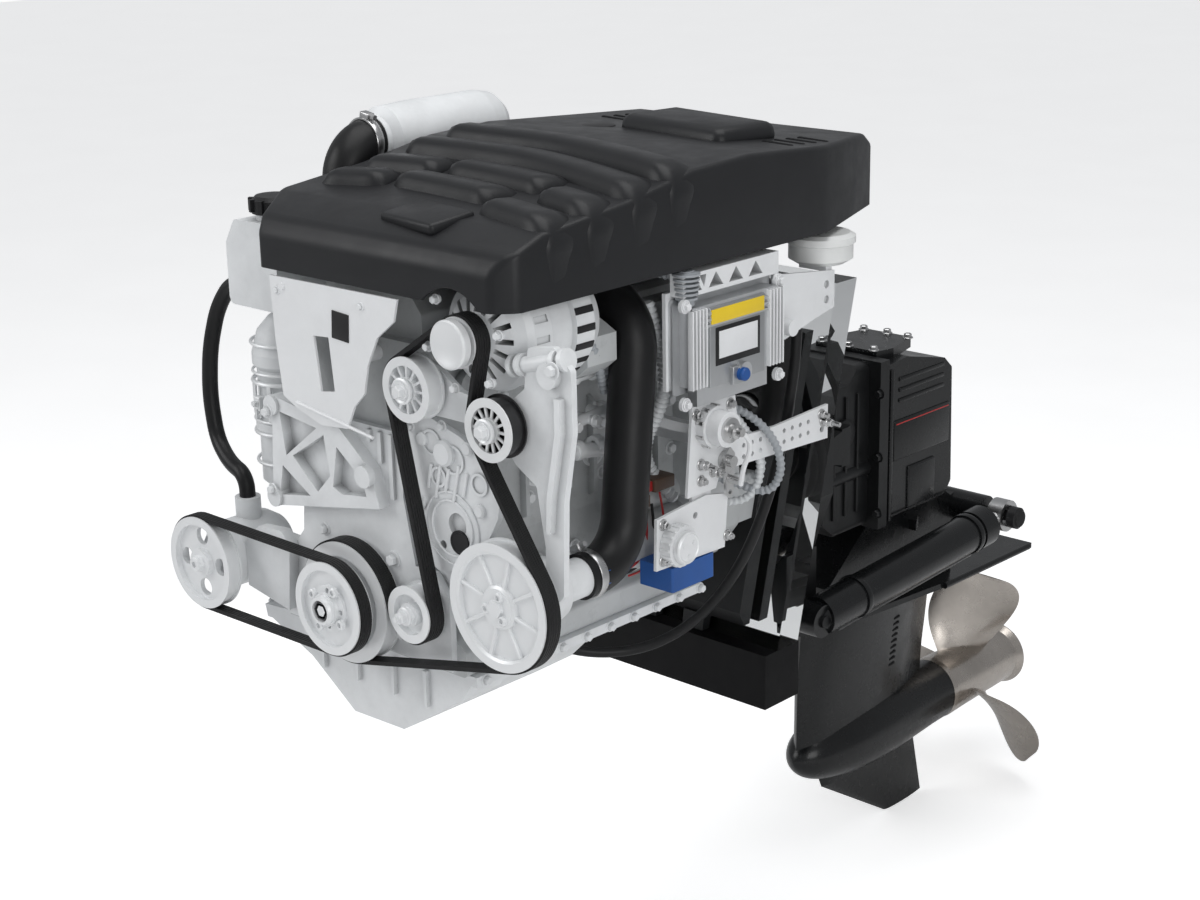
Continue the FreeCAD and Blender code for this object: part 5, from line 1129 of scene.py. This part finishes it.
@dataclass
class EngineCover:
    """The moulded cover with its stepped ridges, lid, hump, slots and front arch.

    A row is a ridge's middle line in plan, from starboard to port. A ridge that ends at the
    shoulder runs on down the port side. The ridge is the section of them all, forward and up
    from the cover's top, and the crown is the top's height along the engine.
    """

    left: float = -150.0
    right: float = 283.0
    foot: float = 383.0
    front: float = 28.0
    rear: float = 756.0
    wall: float = 4.0
    shoulder: float = 27.0
    ridge: tuple[tuple[float, float], ...] = (
        (30, -7), (28, 1), (25, 8), (20, 12.5), (13, 14), (-6, 13), (-20, 8), (-31, 1), (-38, -7))
    rows: tuple[tuple[tuple[float, float], ...], ...] = (
        ((-124, 150), (-80, 166), (-38, 176)), ((-26, 183), (50, 182), (146, 168)),
        ((160, 142), (210, 132), (256, 120)),
        ((-124, 220), (-70, 230), (-10, 234)), ((2, 240), (90, 238), (174, 224)),
        ((188, 202), (220, 196), (256, 184)),
        ((-124, 290), (0, 299), (128, 290), (256, 254)),
        ((-124, 356), (0, 364), (110, 357), (256, 316)))
    crown: tuple[tuple[float, float], ...] = (
        (28, 424), (40, 442), (88, 460), (220, 474), (330, 493), (430, 497), (540, 490), (726, 478),
        (756, 462))
    slot_rows: tuple[tuple[float, float, float], ...] = ((-64, 38, 588), (234, 26, 536))
    slot_count: int = 4
    slot_step: float = 23.0
    slot_wide: float = 8.0
    badge_high: float = 3.0

    def height(self, y: float) -> float:
        """How high the cover's top is at a place along the engine.

        Args:
            y: The place, in millimetres aft of the crank.

        Returns:
            The height over the crank's axis in millimetres.
        """
        for (before, low), (after, high) in zip(self.crown, self.crown[1:]):
            if y <= after:
                return low + (high - low) * (y - before) / (after - before)
        return self.crown[-1][1]

    def shell(self) -> bpy.types.Object:
        """The rounded shell, open below, with the arch cut in its front."""
        form = Form()
        side = [(self.front, self.foot), *self.crown, (self.rear, self.foot)]
        form.drawn(side, Axis.X, self.left, self.right)
        bm = form.bm
        cuts = (((283, 574, 0), (0.94, 0.34, 0)), ((-150, 98, 0), (-0.88, -0.47, 0)),
                ((283, 50, 0), (0.7, -0.7, 0)), ((-140, 756, 0), (-0.7, 0.7, 0)))
        for place, away in cuts:
            geom = bm.verts[:] + bm.edges[:] + bm.faces[:]
            made = bmesh.ops.bisect_plane(bm, geom=geom, plane_co=place, plane_no=away, clear_outer=True)
            rim = [g for g in made["geom_cut"] if isinstance(g, bmesh.types.BMEdge)]
            bmesh.ops.holes_fill(bm, edges=rim, sides=0)
        bmesh.ops.remove_doubles(bm, verts=bm.verts, dist=6.0)
        bmesh.ops.recalc_face_normals(bm, faces=bm.faces)
        edges = [e for e in bm.edges if len(e.link_faces) == 2
                 and e.calc_face_angle(0) > math.radians(24)
                 and max(v.co.z for v in e.verts) > self.foot + 4]
        bmesh.ops.bevel(bm, geom=edges, offset=self.shoulder, segments=6, profile=0.5, affect="EDGES",
                        material=-1, clamp_overlap=True)
        under = [f for f in bm.faces if f.normal.z < -0.9 and f.calc_center_median().z < self.foot + 1]
        bmesh.ops.delete(bm, geom=under, context="FACES")
        bmesh.ops.solidify(bm, geom=bm.faces[:], thickness=self.wall)
        item = form.made("cover_shell", "engine_cover_body", COVER)
        cutter = Form().rod((201, 10, 344), (201, 74, 344), 58, None, 64)
        self._carve(item, cutter)
        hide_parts("engine_cover")
        return item

    def _carve(self, item: bpy.types.Object, cutter: Form) -> None:
        """Cut a form out of a piece for good.

        Args:
            item: The piece.
            cutter: The form to take away.
        """
        mesh = bpy.data.meshes.new("cutter")
        bmesh.ops.recalc_face_normals(cutter.bm, faces=cutter.bm.faces)
        for vert in cutter.bm.verts:
            vert.co = at(*vert.co)
        cutter.bm.to_mesh(mesh)
        cutter.bm.free()
        tool = bpy.data.objects.new("cutter", mesh)
        bpy.context.scene.collection.objects.link(tool)
        step = item.modifiers.new("arch", "BOOLEAN")
        step.operation = "DIFFERENCE"
        step.solver = "EXACT"
        step.object = tool
        bpy.context.view_layer.update()
        ready = bpy.data.meshes.new_from_object(item.evaluated_get(
            bpy.context.evaluated_depsgraph_get()))
        item.modifiers.remove(step)
        item.data = ready
        bpy.data.objects.remove(tool)
        bpy.data.meshes.remove(mesh)

    def cross_waves(self) -> None:
        """The stepped ridges that cross the top and fade out down the port side."""
        form = Form()
        for row in self.rows:
            plan = smooth_line([(x, y, 0.0) for x, y in row], 9.0)
            path = [(Vector((p.x, p.y, self.height(p.y))), Vector(UP), 1.0) for p in plan]
            for step, share in ((0, 0.35), (1, 0.85)):
                path[step] = (*path[step][:2], share)
                path[-1 - step] = (*path[-1 - step][:2], share)
            if row[-1][0] >= self.right - self.shoulder:
                lead_y = (plan[-1].y - plan[-3].y) / (plan[-1].x - plan[-3].x)
                path[-2:] = [(*path[-2][:2], 1.0), (*path[-1][:2], 1.0)]
                path += self._down_the_side(path[-1][0], lead_y)
            form.band(path, list(self.ridge))
        form.made("cover_waves", "engine_cover_body", COVER, math.radians(50))

    def _down_the_side(self, start: Vector, slope: float) -> list[tuple[Vector, Vector, float]]:
        """A ridge's path round the port shoulder and down the side, where it fades.

        Args:
            start: Where the ridge reaches the shoulder.
            slope: How far the ridge turns aft for each millimetre to port.

        Returns:
            Places with their outward direction and the section's scale.
        """
        middle = start - Vector((0.0, 0.0, self.shoulder))
        steps = []
        for step in range(1, 7):
            angle = math.radians(15 * step)
            outward = Vector((math.sin(angle), 0.0, math.cos(angle)))
            place = middle + outward * self.shoulder
            place.y += slope * (place.x - start.x)
            steps.append((place, outward, 1.0 - 0.088 * step))
        last = steps[-1][0]
        for step in range(1, 6):
            steps.append((last - Vector((0.0, 0.0, 8.0 * step)), Vector(PORT), 0.45 - 0.03 * step))
        return steps

    def top_parts(self) -> None:
        """The front lid, the rear hump, the vent slots with flat black in them as painted shade, and the bare
        badge seat.
        """
        skew = Matrix.Rotation(math.radians(-9), 4, "Z")
        slope = Matrix.Rotation(math.radians(8), 4, "X")
        lid = Form().block((58, 58, 450), (158, 118, 464), 5.0, skew @ slope)
        lid.made("cover_lid", "engine_cover_body", COVER)
        hump = Form().block((0, 506, 474), (192, 606, 508), 15.0, skew)
        hump.made("cover_hump", "engine_cover_body", COVER)
        # flat black blocks fill the vent slots as painted shade of the openings
        slots = Form()
        for x, half, first in self.slot_rows:
            for step in range(self.slot_count):
                y = first + step * self.slot_step
                top = self.height(y)
                slots.block((x - half, y, top - 7), (x + half, y + self.slot_wide, top + 1.2), 3.0, skew)
        slots.made("cover_slot_shade", "engine_cover_body", FLAT_BLACK)
        badge = Form()
        high = self.badge_high
        badge.turned([(0, 0), (22, 0), (22, high - 0.8), (20, high), (0, high)], (-30, 512, 490), Axis.Z, 44)
        badge.made("cover_badge_seat", "engine_cover_body", BLACK_PLASTIC)

    def build(self) -> None:
        """Make the whole cover."""
        self.shell()
        self.cross_waves()
        self.top_parts()


@dataclass
class PortSide:
    """The control unit's face, the throttle sensor, looms and connectors on the port side."""

    face: float = 288.0

    def unit_face(self) -> None:
        """Fins, bare plates, the plug and bolts on the control unit."""
        x, _, _ = seat_on("control_unit", (420, 330, 300), STARBOARD)
        plate = Form().block((x - 1, 346, 240), (x + 2.4, 446, 334), 1.0)
        plate.made("unit_plate", "engine", PLATE_ALUMINIUM)
        Form().block((x + 2, 348, 314), (x + 3.2, 444, 331), 0.3).made("unit_stripe", "engine", YELLOW)
        Form().block((x + 2, 356, 264), (x + 3.2, 436, 309), 0.3).made("unit_frame", "engine",
                                                                       BLACK_PLASTIC)
        Form().block((x + 3, 361, 272), (x + 3.8, 431, 304), 0.2).made("unit_label", "engine", SHEET_PAINT)
        base = Form().block((x + 1, 382, 236), (x + 7, 410, 258), 1.5)
        base.made("unit_plug_base", "engine", PLATE_ALUMINIUM)
        plug = Form().turned([(0, 0), (8, 0), (8, 7), (6.5, 9), (0, 9)], (x + 7, 396, 248), Axis.X, 28)
        plug.made("unit_plug", "engine", BLUE)
        fins = Form()
        for y in list(range(312, 342, 6)) + list(range(452, 478, 6)):
            fins.block((x - 2, y, 244), (x + 6, y + 2.4, 336), 0.8)
        for y, z in ((308, 342), (308, 228), (478, 342), (478, 228)):
            fins.turned([(0, 0), (8, 0), (8, 5), (0, 5)], (x - 6, y, z), Axis.X, 24)
            fins.bolt((x - 1, y, z), PORT, 8, 5, 6)
        fins.made("unit_fins", "engine", SHEET_PAINT)
        boot = Form()
        for k in range(6):
            z = 346 + k * 5.5
            boot.turned([(9, z), (13 + k * 0.6, z + 1), (13 + k * 0.6, z + 3.5), (9, z + 5)],
                        (276, 322, 0), Axis.Z, 28)
        boot.rod((276, 322, 340), (276, 322, 380), 9.4)
        boot.made("unit_boot", "engine", GREY_CONDUIT)

    def sensor(self) -> None:
        """Ribs, shaft, nut and the bent lever of the throttle sensor, with its studs."""
        form = Form()
        for k in range(9):
            angle = math.tau * k / 9
            y, z = 366 + 25 * math.cos(angle), 188 + 25 * math.sin(angle)
            form.block((272, y - 1.5, z - 2.4), (283, y + 1.5, z + 2.4), 0.5,
                       Matrix.Rotation(angle, 4, "X"))
        form.turned([(0, 300), (15, 300), (15, 306), (9, 307), (9, 314), (5, 315), (5, 322), (0, 322)],
                    (0, 366, 188), Axis.X, 32)
        form.bolt((307, 366, 188), PORT, 13, 7, 9)
        form.made("sensor_shaft", "engine", PLAIN_STEEL)
        bar = Form().along(smooth_line([(318, 366, 188), (318, 384, 178), (318, 384, 158),
                                        (312, 378, 140), (306, 382, 118)], 4.0), [3.2], 10)
        bar.made("sensor_bar", "engine", SHEET_PAINT)
        studs = Form()
        for y, z, out in ((350, 144, 24), (372, 130, 20), (350, 124, 10), (342, 206, 10), (404, 206, 8),
                          (586, 142, 26), (582, 152, 12), (398, 44, 10), (282, 44, 10), (282, 88, 10)):
            studs.rod((270, y, z), (272 + out, y, z), 3.0)
            studs.bolt((272.2, y, z), PORT, 9, 6, 7)
            if out > 18:
                studs.bolt((280, y, z), PORT, 9, 6)
        studs.made("side_studs", "engine", PLAIN_STEEL)
        cap = Form()
        for k in range(18):
            angle = math.tau * k / 18
            y, z = 300 + 24 * math.cos(angle), 60 + 24 * math.sin(angle)
            cap.block((273, y - 1.2, z - 1.6), (287, y + 1.2, z + 1.6), 0.5,
                      Matrix.Rotation(angle, 4, "X"))
        for k in range(3):
            angle = math.tau * (k + 0.25) / 3
            cap.rod((294, 300 + 10 * math.cos(angle), 60 + 10 * math.sin(angle)),
                    (297, 300 + 10 * math.cos(angle), 60 + 10 * math.sin(angle)), 2.6)
        cap.turned([(0, 290), (19.5, 290), (19.5, 295), (17, 297), (15, 295.5), (0, 295.5)],
                   (0, 300, 60), Axis.X, 36)
        cap.made("side_cap", "engine", SMOOTH_PAINT)

    def looms(self) -> None:
        """Corrugated conduits and plain leads between the engine and the side plates."""
        wide, fine = 8.0, 5.6
        conduit("loom_top", [(196, 204, 376), (204, 226, 356), (206, 262, 372), (222, 318, 376),
                             (262, 322, 372), (276, 322, 372)], wide, "engine", GREY_CONDUIT)
        conduit("loom_down", [(196, 200, 340), (206, 236, 316), (208, 262, 276), (204, 282, 214),
                              (198, 300, 168), (190, 316, 128), (184, 336, 108)], wide, "engine",
                GREY_CONDUIT)
        conduit("loom_inner", [(232, 306, 340), (240, 330, 262), (222, 340, 206), (196, 336, 160),
                               (190, 352, 116), (206, 380, 80)], wide, "engine", WHITE_CONDUIT)
        conduit("loom_loop_a", [(240, 400, 232), (250, 424, 196), (262, 448, 160), (268, 470, 120),
                                (258, 474, 78), (238, 456, 60), (220, 430, 70)], fine, "engine",
                WHITE_CONDUIT)
        conduit("loom_loop_b", [(236, 420, 200), (262, 446, 186), (286, 470, 152), (290, 484, 108),
                                (272, 480, 74), (240, 462, 84), (216, 440, 96)], fine, "engine",
                GREY_CONDUIT)
        conduit("loom_loop_c", [(226, 430, 150), (244, 470, 140), (256, 490, 112), (246, 486, 84),
                                (222, 462, 92)], fine, "engine", WHITE_CONDUIT)
        conduit("loom_alternator", [(232, 188, 330), (236, 206, 312), (228, 226, 288), (212, 244, 272),
                                    (204, 262, 240)], fine, "engine", GREY_CONDUIT)
        lead("wire_red", [(206, 326, 86), (214, 322, 56), (212, 316, 26), (204, 296, 12), (192, 284, 8)],
             1.6, "engine", RED)
        lead("wire_black", [(204, 340, 84), (212, 338, 50), (208, 326, 20), (200, 306, 6), (190, 296, 2)],
             1.8, "engine", BLACK_PLASTIC)
        lead("wire_red_low", [(206, 352, 96), (218, 350, 60), (216, 342, 24), (206, 322, 4),
                              (192, 310, -2)], 1.4, "engine", RED)

    def connectors(self) -> None:
        """Plugs, fuel rails and injector ends behind the hose."""
        plug = Form()
        plug.block((186, 300, 84), (212, 330, 100), 2.0)
        plug.block((190, 336, 100), (214, 372, 116), 2.0)
        plug.made("plug_bodies", "engine", BROWN_PLASTIC)
        ends = Form()
        ends.block((190, 290, 86), (208, 300, 98), 1.0)
        ends.block((194, 326, 102), (210, 336, 114), 1.0)
        ends.made("plug_ends", "engine", RED)
        rails = Form()
        rails.rod((188, 214, 262), (188, 470, 262), 8.0)
        rails.rod((176, 214, 200), (176, 300, 206), 7.0)
        rails.rod((176, 214, 172), (176, 286, 160), 9.0)
        for y in (222, 262, 302, 342, 382, 422, 462):
            rails.turned([(6, -6), (10.5, -6), (10.5, -2), (9, -1), (9, 3), (10.5, 4), (10.5, 8), (6, 8)],
                         (188, y, 262), Axis.Y, 24)
        for y in (224, 244, 276):
            rails.turned([(5, -5), (11, -5), (12, 0), (11, 5), (5, 5)], (176, y, 168), Axis.Y, 24)
        for y in (230, 262, 292):
            rails.rod((150, y, 202), (188, y, 202), 6.0)
            rails.bolt((188, y, 202), PORT, 11, 6, 8)
        rails.made("fuel_rails", "engine", SMOOTH_PAINT)
        caps = Form()
        for y in (238, 318, 398):
            caps.turned([(0, 0), (13, 0), (13, 10), (9, 14), (9, 22), (0, 22)], (138, y, 266), Axis.X, 28)
            caps.rod((160, y, 266), (182, y, 262), 4.0)
        caps.made("injector_ends", "engine", PAINT)
        tag = Form().block((268, 184, 44), (276, 190, 62), 1.6)
        tag.made("drain_tag", "engine", BLUE)

    def build(self) -> None:
        """Make the whole port side."""
        self.unit_face()
        self.sensor()
        self.looms()
        self.connectors()


@dataclass
class BlockDetails:
    """Bolts and plugs on the block, head and pan."""

    def pan_bolts(self) -> None:
        """A row of bolts under each side of the pan's flange and along the head."""
        form = Form()
        for node, way, start in (("oil_pan", STARBOARD, 420.0), ("oil_pan", PORT, -420.0)):
            for y in range(88, 470, 42):
                found, place, _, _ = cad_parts[node].ray_cast(at(start, y, -68), Vector(way))
                if found:
                    spot = place / MILLIMETRE
                    form.bolt((spot.x, y, -68), tuple(-c for c in way), 9, 6, 7)
        for node, z in (("engine_block", 20), ("engine_block", 96), ("engine_block", 160),
                        ("cylinder_head", 240)):
            for way, start in ((STARBOARD, 420.0), (PORT, -420.0)):
                for y in range(110, 500, 64):
                    found, place, normal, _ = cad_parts[node].ray_cast(at(start, y, z), Vector(way))
                    if found and abs(normal.x) > 0.7:
                        spot = place / MILLIMETRE
                        out = tuple(-c for c in way)
                        form.bolt((spot.x, y, z), out, 11, 6, 9)
        form.made("block_bolts", "engine", PAINT)

    def plugs(self) -> None:
        """Core plugs on the block's sides."""
        form = Form()
        for way, start in ((STARBOARD, 420.0), (PORT, -420.0)):
            for y in (150, 250, 350, 450):
                found, place, normal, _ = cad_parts["engine_block"].ray_cast(at(start, y, 128),
                                                                                  Vector(way))
                if not found or abs(normal.x) < 0.7:
                    continue
                x = place.x / MILLIMETRE
                side = -way[0]
                form.turned([(0, -1), (20, -1), (20, 2.5), (17, 2.5), (15, 0.8), (0, 0.8)], (x, y, 128),
                            Matrix.Rotation(side * math.pi / 2, 4, "Y"), 32)
        form.made("block_plugs", "engine", PAINT)

    def build(self) -> None:
        """Make the block's small parts."""
        self.pan_bolts()
        self.plugs()


@dataclass
class SternDrive:
    """Bolts, lids, lines and soft parts of the drive outside the transom."""

    boot_middle: float = 790.0
    boot_rear: float = 838.0
    ram_foot: tuple[float, float, float] = (0.0, 786.0, -224.0)
    ram_head: tuple[float, float, float] = (0.0, 1270.0, -198.0)
    ram_out: float = 112.0

    def bellows(self) -> None:
        """The two halves of the exhaust and shaft boot, one on each side of the steering ring."""
        front = [(64, 702), (64, 744), (52, 745)]
        y = 750.0
        while y < self.boot_middle - 6:
            front += [(58, y + 3), (58, y + 6), (50, y + 9), (50, y + 12)]
            y += 14.0
        front.append((50, self.boot_middle))
        inner = [(r - 3.0, y) for r, y in reversed(front)]
        half = Form().turned(front + inner + front[:1], (0, 0, 0), Axis.Y, 48)
        item = half.made("boot_front_half", None, RUBBER, math.radians(50))
        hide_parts("drive_bellows")
        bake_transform(item)
        rear = [(50, self.boot_middle)]
        for y in (794.0, 808.0, 822.0):
            rear += [(58, y + 3), (58, y + 6), (50, y + 9), (50, y + 11)]
        rear += [(54, 834), (56, self.boot_rear - 0.5)]
        inner = [(r - 3.0, y) for r, y in reversed(rear)]
        half = Form().turned(rear + inner + rear[:1], (0, 0, 0), Axis.Y, 48)
        item = half.made("boot_rear_half", None, RUBBER, math.radians(50))
        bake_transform(item)

    def housing_parts(self) -> None:
        """Bolts on the drive's lid and flange, the bare side panel and its red line."""
        form = Form()
        for x, y in ((-44, 1014), (44, 1014), (-40, 1106), (40, 1106), (0, 1012), (0, 1110)):
            seat = seat_on("driveshaft_housing", (x, y, 300), DOWN)
            form.bolt(seat, UP, 10, 6, 8)
        form.made("lid_bolts", "drive", PLAIN_STEEL)
        form = Form()
        for z in (-126, -40, 56):
            for side in (-1, 1):
                form.bolt((side * 80, 982, z), FRONT, 10, 7, 8)
        form.made("drive_bolts", "drive", CAST_BLACK)
        for side, word in ((1, "port"), (-1, "starboard")):
            x = side * 76.0
            panel = Form().block((x - 2, 1022, -58), (x + 2.5, 1166, 4), 2.0)
            panel.made(f"side_panel_{word}", "drive", DRIVE_BLACK)
            line = Form().block((x - 2.8, 1026, -2.6), (x + 2.9, 1162, -0.8), 0.2)
            line.made(f"red_line_{word}", "drive", RED)
            ribs = Form()
            for k in range(3):
                z = 30 + k * 16
                ribs.block((x - 2, 1034, z), (x + 2.4, 1150, z + 6), 1.6)
            ribs.block((x - 4, 1010, -148), (x + 4, 1018, 84), 2.0)
            ribs.block((x - 3, 1060, -140), (x + 3.5, 1130, -74), 3.0)
            ribs.made(f"side_ribs_{word}", "drive", DRIVE_BLACK)

    def bell_parts(self) -> None:
        """Ribs, a shift cover and pipe ends on the bell housing."""
        form = Form()
        for side in (-1, 1):
            for y in (866, 894, 922, 950):
                form.block((side * 60 - 4, y, -120), (side * 60 + 4, y + 5, 60), 1.5)
            form.rod((side * 54, 860, -60), (side * 54, 990, -60), 12.0)
            form.turned([(0, 0), (22, 0), (22, 6), (18, 8), (0, 8)], (side * 59, 920, 6),
                        Matrix.Rotation(side * math.pi / 2, 4, "Y"), 32)
        form.made("bell_ribs", "drive", CAST_BLACK)

    def ram_parts(self) -> None:
        """Bright gland rings, rubber pin caps and the bands on the trim cylinders."""
        start = Vector(self.ram_foot)
        run = (Vector(self.ram_head) - start).normalized()
        gland = Form()
        bands = Form()
        for side in (-1, 1):
            base = start + Vector((side * self.ram_out, 0, 0))
            first = base + run * 430
            gland.rod(tuple(first), tuple(first + run * 9), 24.0, 21.0, 32)
            gland.rod(tuple(first + run * 9), tuple(first + run * 15), 17.0, 15.0, 32)
            for reach in (96, 386):
                spot = base + run * reach
                turn = run.to_track_quat("Z", "Y").to_matrix().to_4x4()
                bands.turned([(28, -5), (31.4, -5), (32.4, 0), (31.4, 5), (28, 5)], tuple(spot), turn, 36)
        gland.made("ram_glands", "trim_barrels", PLAIN_STEEL)
        bands.made("ram_bands", "trim_barrels", DRIVE_BLACK)
        caps = Form()
        for side in (-1, 1):
            turn = Matrix.Rotation(side * math.pi / 2, 4, "Y")
            place = (side * 131.0, *self.ram_head[1:])
            caps.turned([(0, 0), (15.5, 0), (15.5, 12), (13, 16), (0, 17)], place, turn, 32)
        caps.made("pin_caps", "drive", RUBBER)

    def gearcase_parts(self) -> None:
        """The slotted water inlet, the anode and the rims of the plate on the gearcase."""
        # flat black slits, painted shade of the water inlet's openings
        slits = Form()
        for k in range(9):
            z = -336 - k * 10
            for side in (-1, 1):
                found, place, _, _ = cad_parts["gearcase"].ray_cast(at(side * 200, 1096, z),
                                                                         Vector((-side, 0, 0)))
                if found:
                    x = place.x / MILLIMETRE
                    slits.block((x - 1.2, 1088, z - 2), (x + 1.2, 1104, z + 2), 0.8)
        slits.made("water_inlet_shade", "drive", FLAT_BLACK)
        anode = Form()
        anode.block((-18, 1262, -322), (18, 1312, -306), 4.0)
        anode.bolt((0, 1287, -322), DOWN, 9, 5, 7)
        anode.made("anode", "drive", ALUMINIUM)
        rim = Form()
        for side in (-1, 1):
            rim.rod((side * 70, 1180, -301), (side * 74, 1416, -301), 5.2)
        rim.made("plate_rims", "drive", DRIVE_BLACK)

    def build(self) -> None:
        """Make all the drive's small parts."""
        self.bellows()
        self.housing_parts()
        self.bell_parts()
        self.ram_parts()
        self.gearcase_parts()


@dataclass
class SlackCable:
    """The free cable that hangs from the reservoir down to the front of the oil pan."""

    radius: float = 7.0
    points: tuple[tuple[float, float, float], ...] = (
        (250, 560, 284), (250, 560, 236), (244, 556, 176), (232, 552, 100), (210, 548, 20),
        (178, 540, -60), (136, 518, -130), (84, 480, -176), (34, 426, -184), (-4, 372, -162),
        (-20, 336, -140), (-20, 300, -140))

    def build(self) -> None:
        data = bpy.data.curves.new("cable", "CURVE")
        data.dimensions = "3D"
        data.resolution_u = 12
        data.bevel_depth = self.radius * MILLIMETRE
        data.bevel_resolution = 4
        data.use_fill_caps = True
        spline = data.splines.new("NURBS")
        spline.points.add(len(self.points) - 1)
        for target, source in zip(spline.points, self.points):
            target.co = (*at(*source), 1.0)
        spline.order_u = 3
        spline.use_endpoint_u = True
        data.materials.append(SHINY_RUBBER.material())
        item = bpy.data.objects.new("cable", data)
        bpy.context.scene.collection.objects.link(item)
        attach(item, "engine")
        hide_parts("slack_cable")
        line = smooth_line(list(self.points), 4.0)


def main() -> None:
    """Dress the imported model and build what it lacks, in order."""
    logging.basicConfig(level=logging.INFO)
    Wardrobe().dress()
    BeltDrive().build()
    FrontEnd().build()
    HoseClamps().build()
    EngineCover().build()
    PortSide().build()
    BlockDetails().build()
    SternDrive().build()
    SlackCable().build()
    Studio().build()


if __name__ == "__main__":
    main()
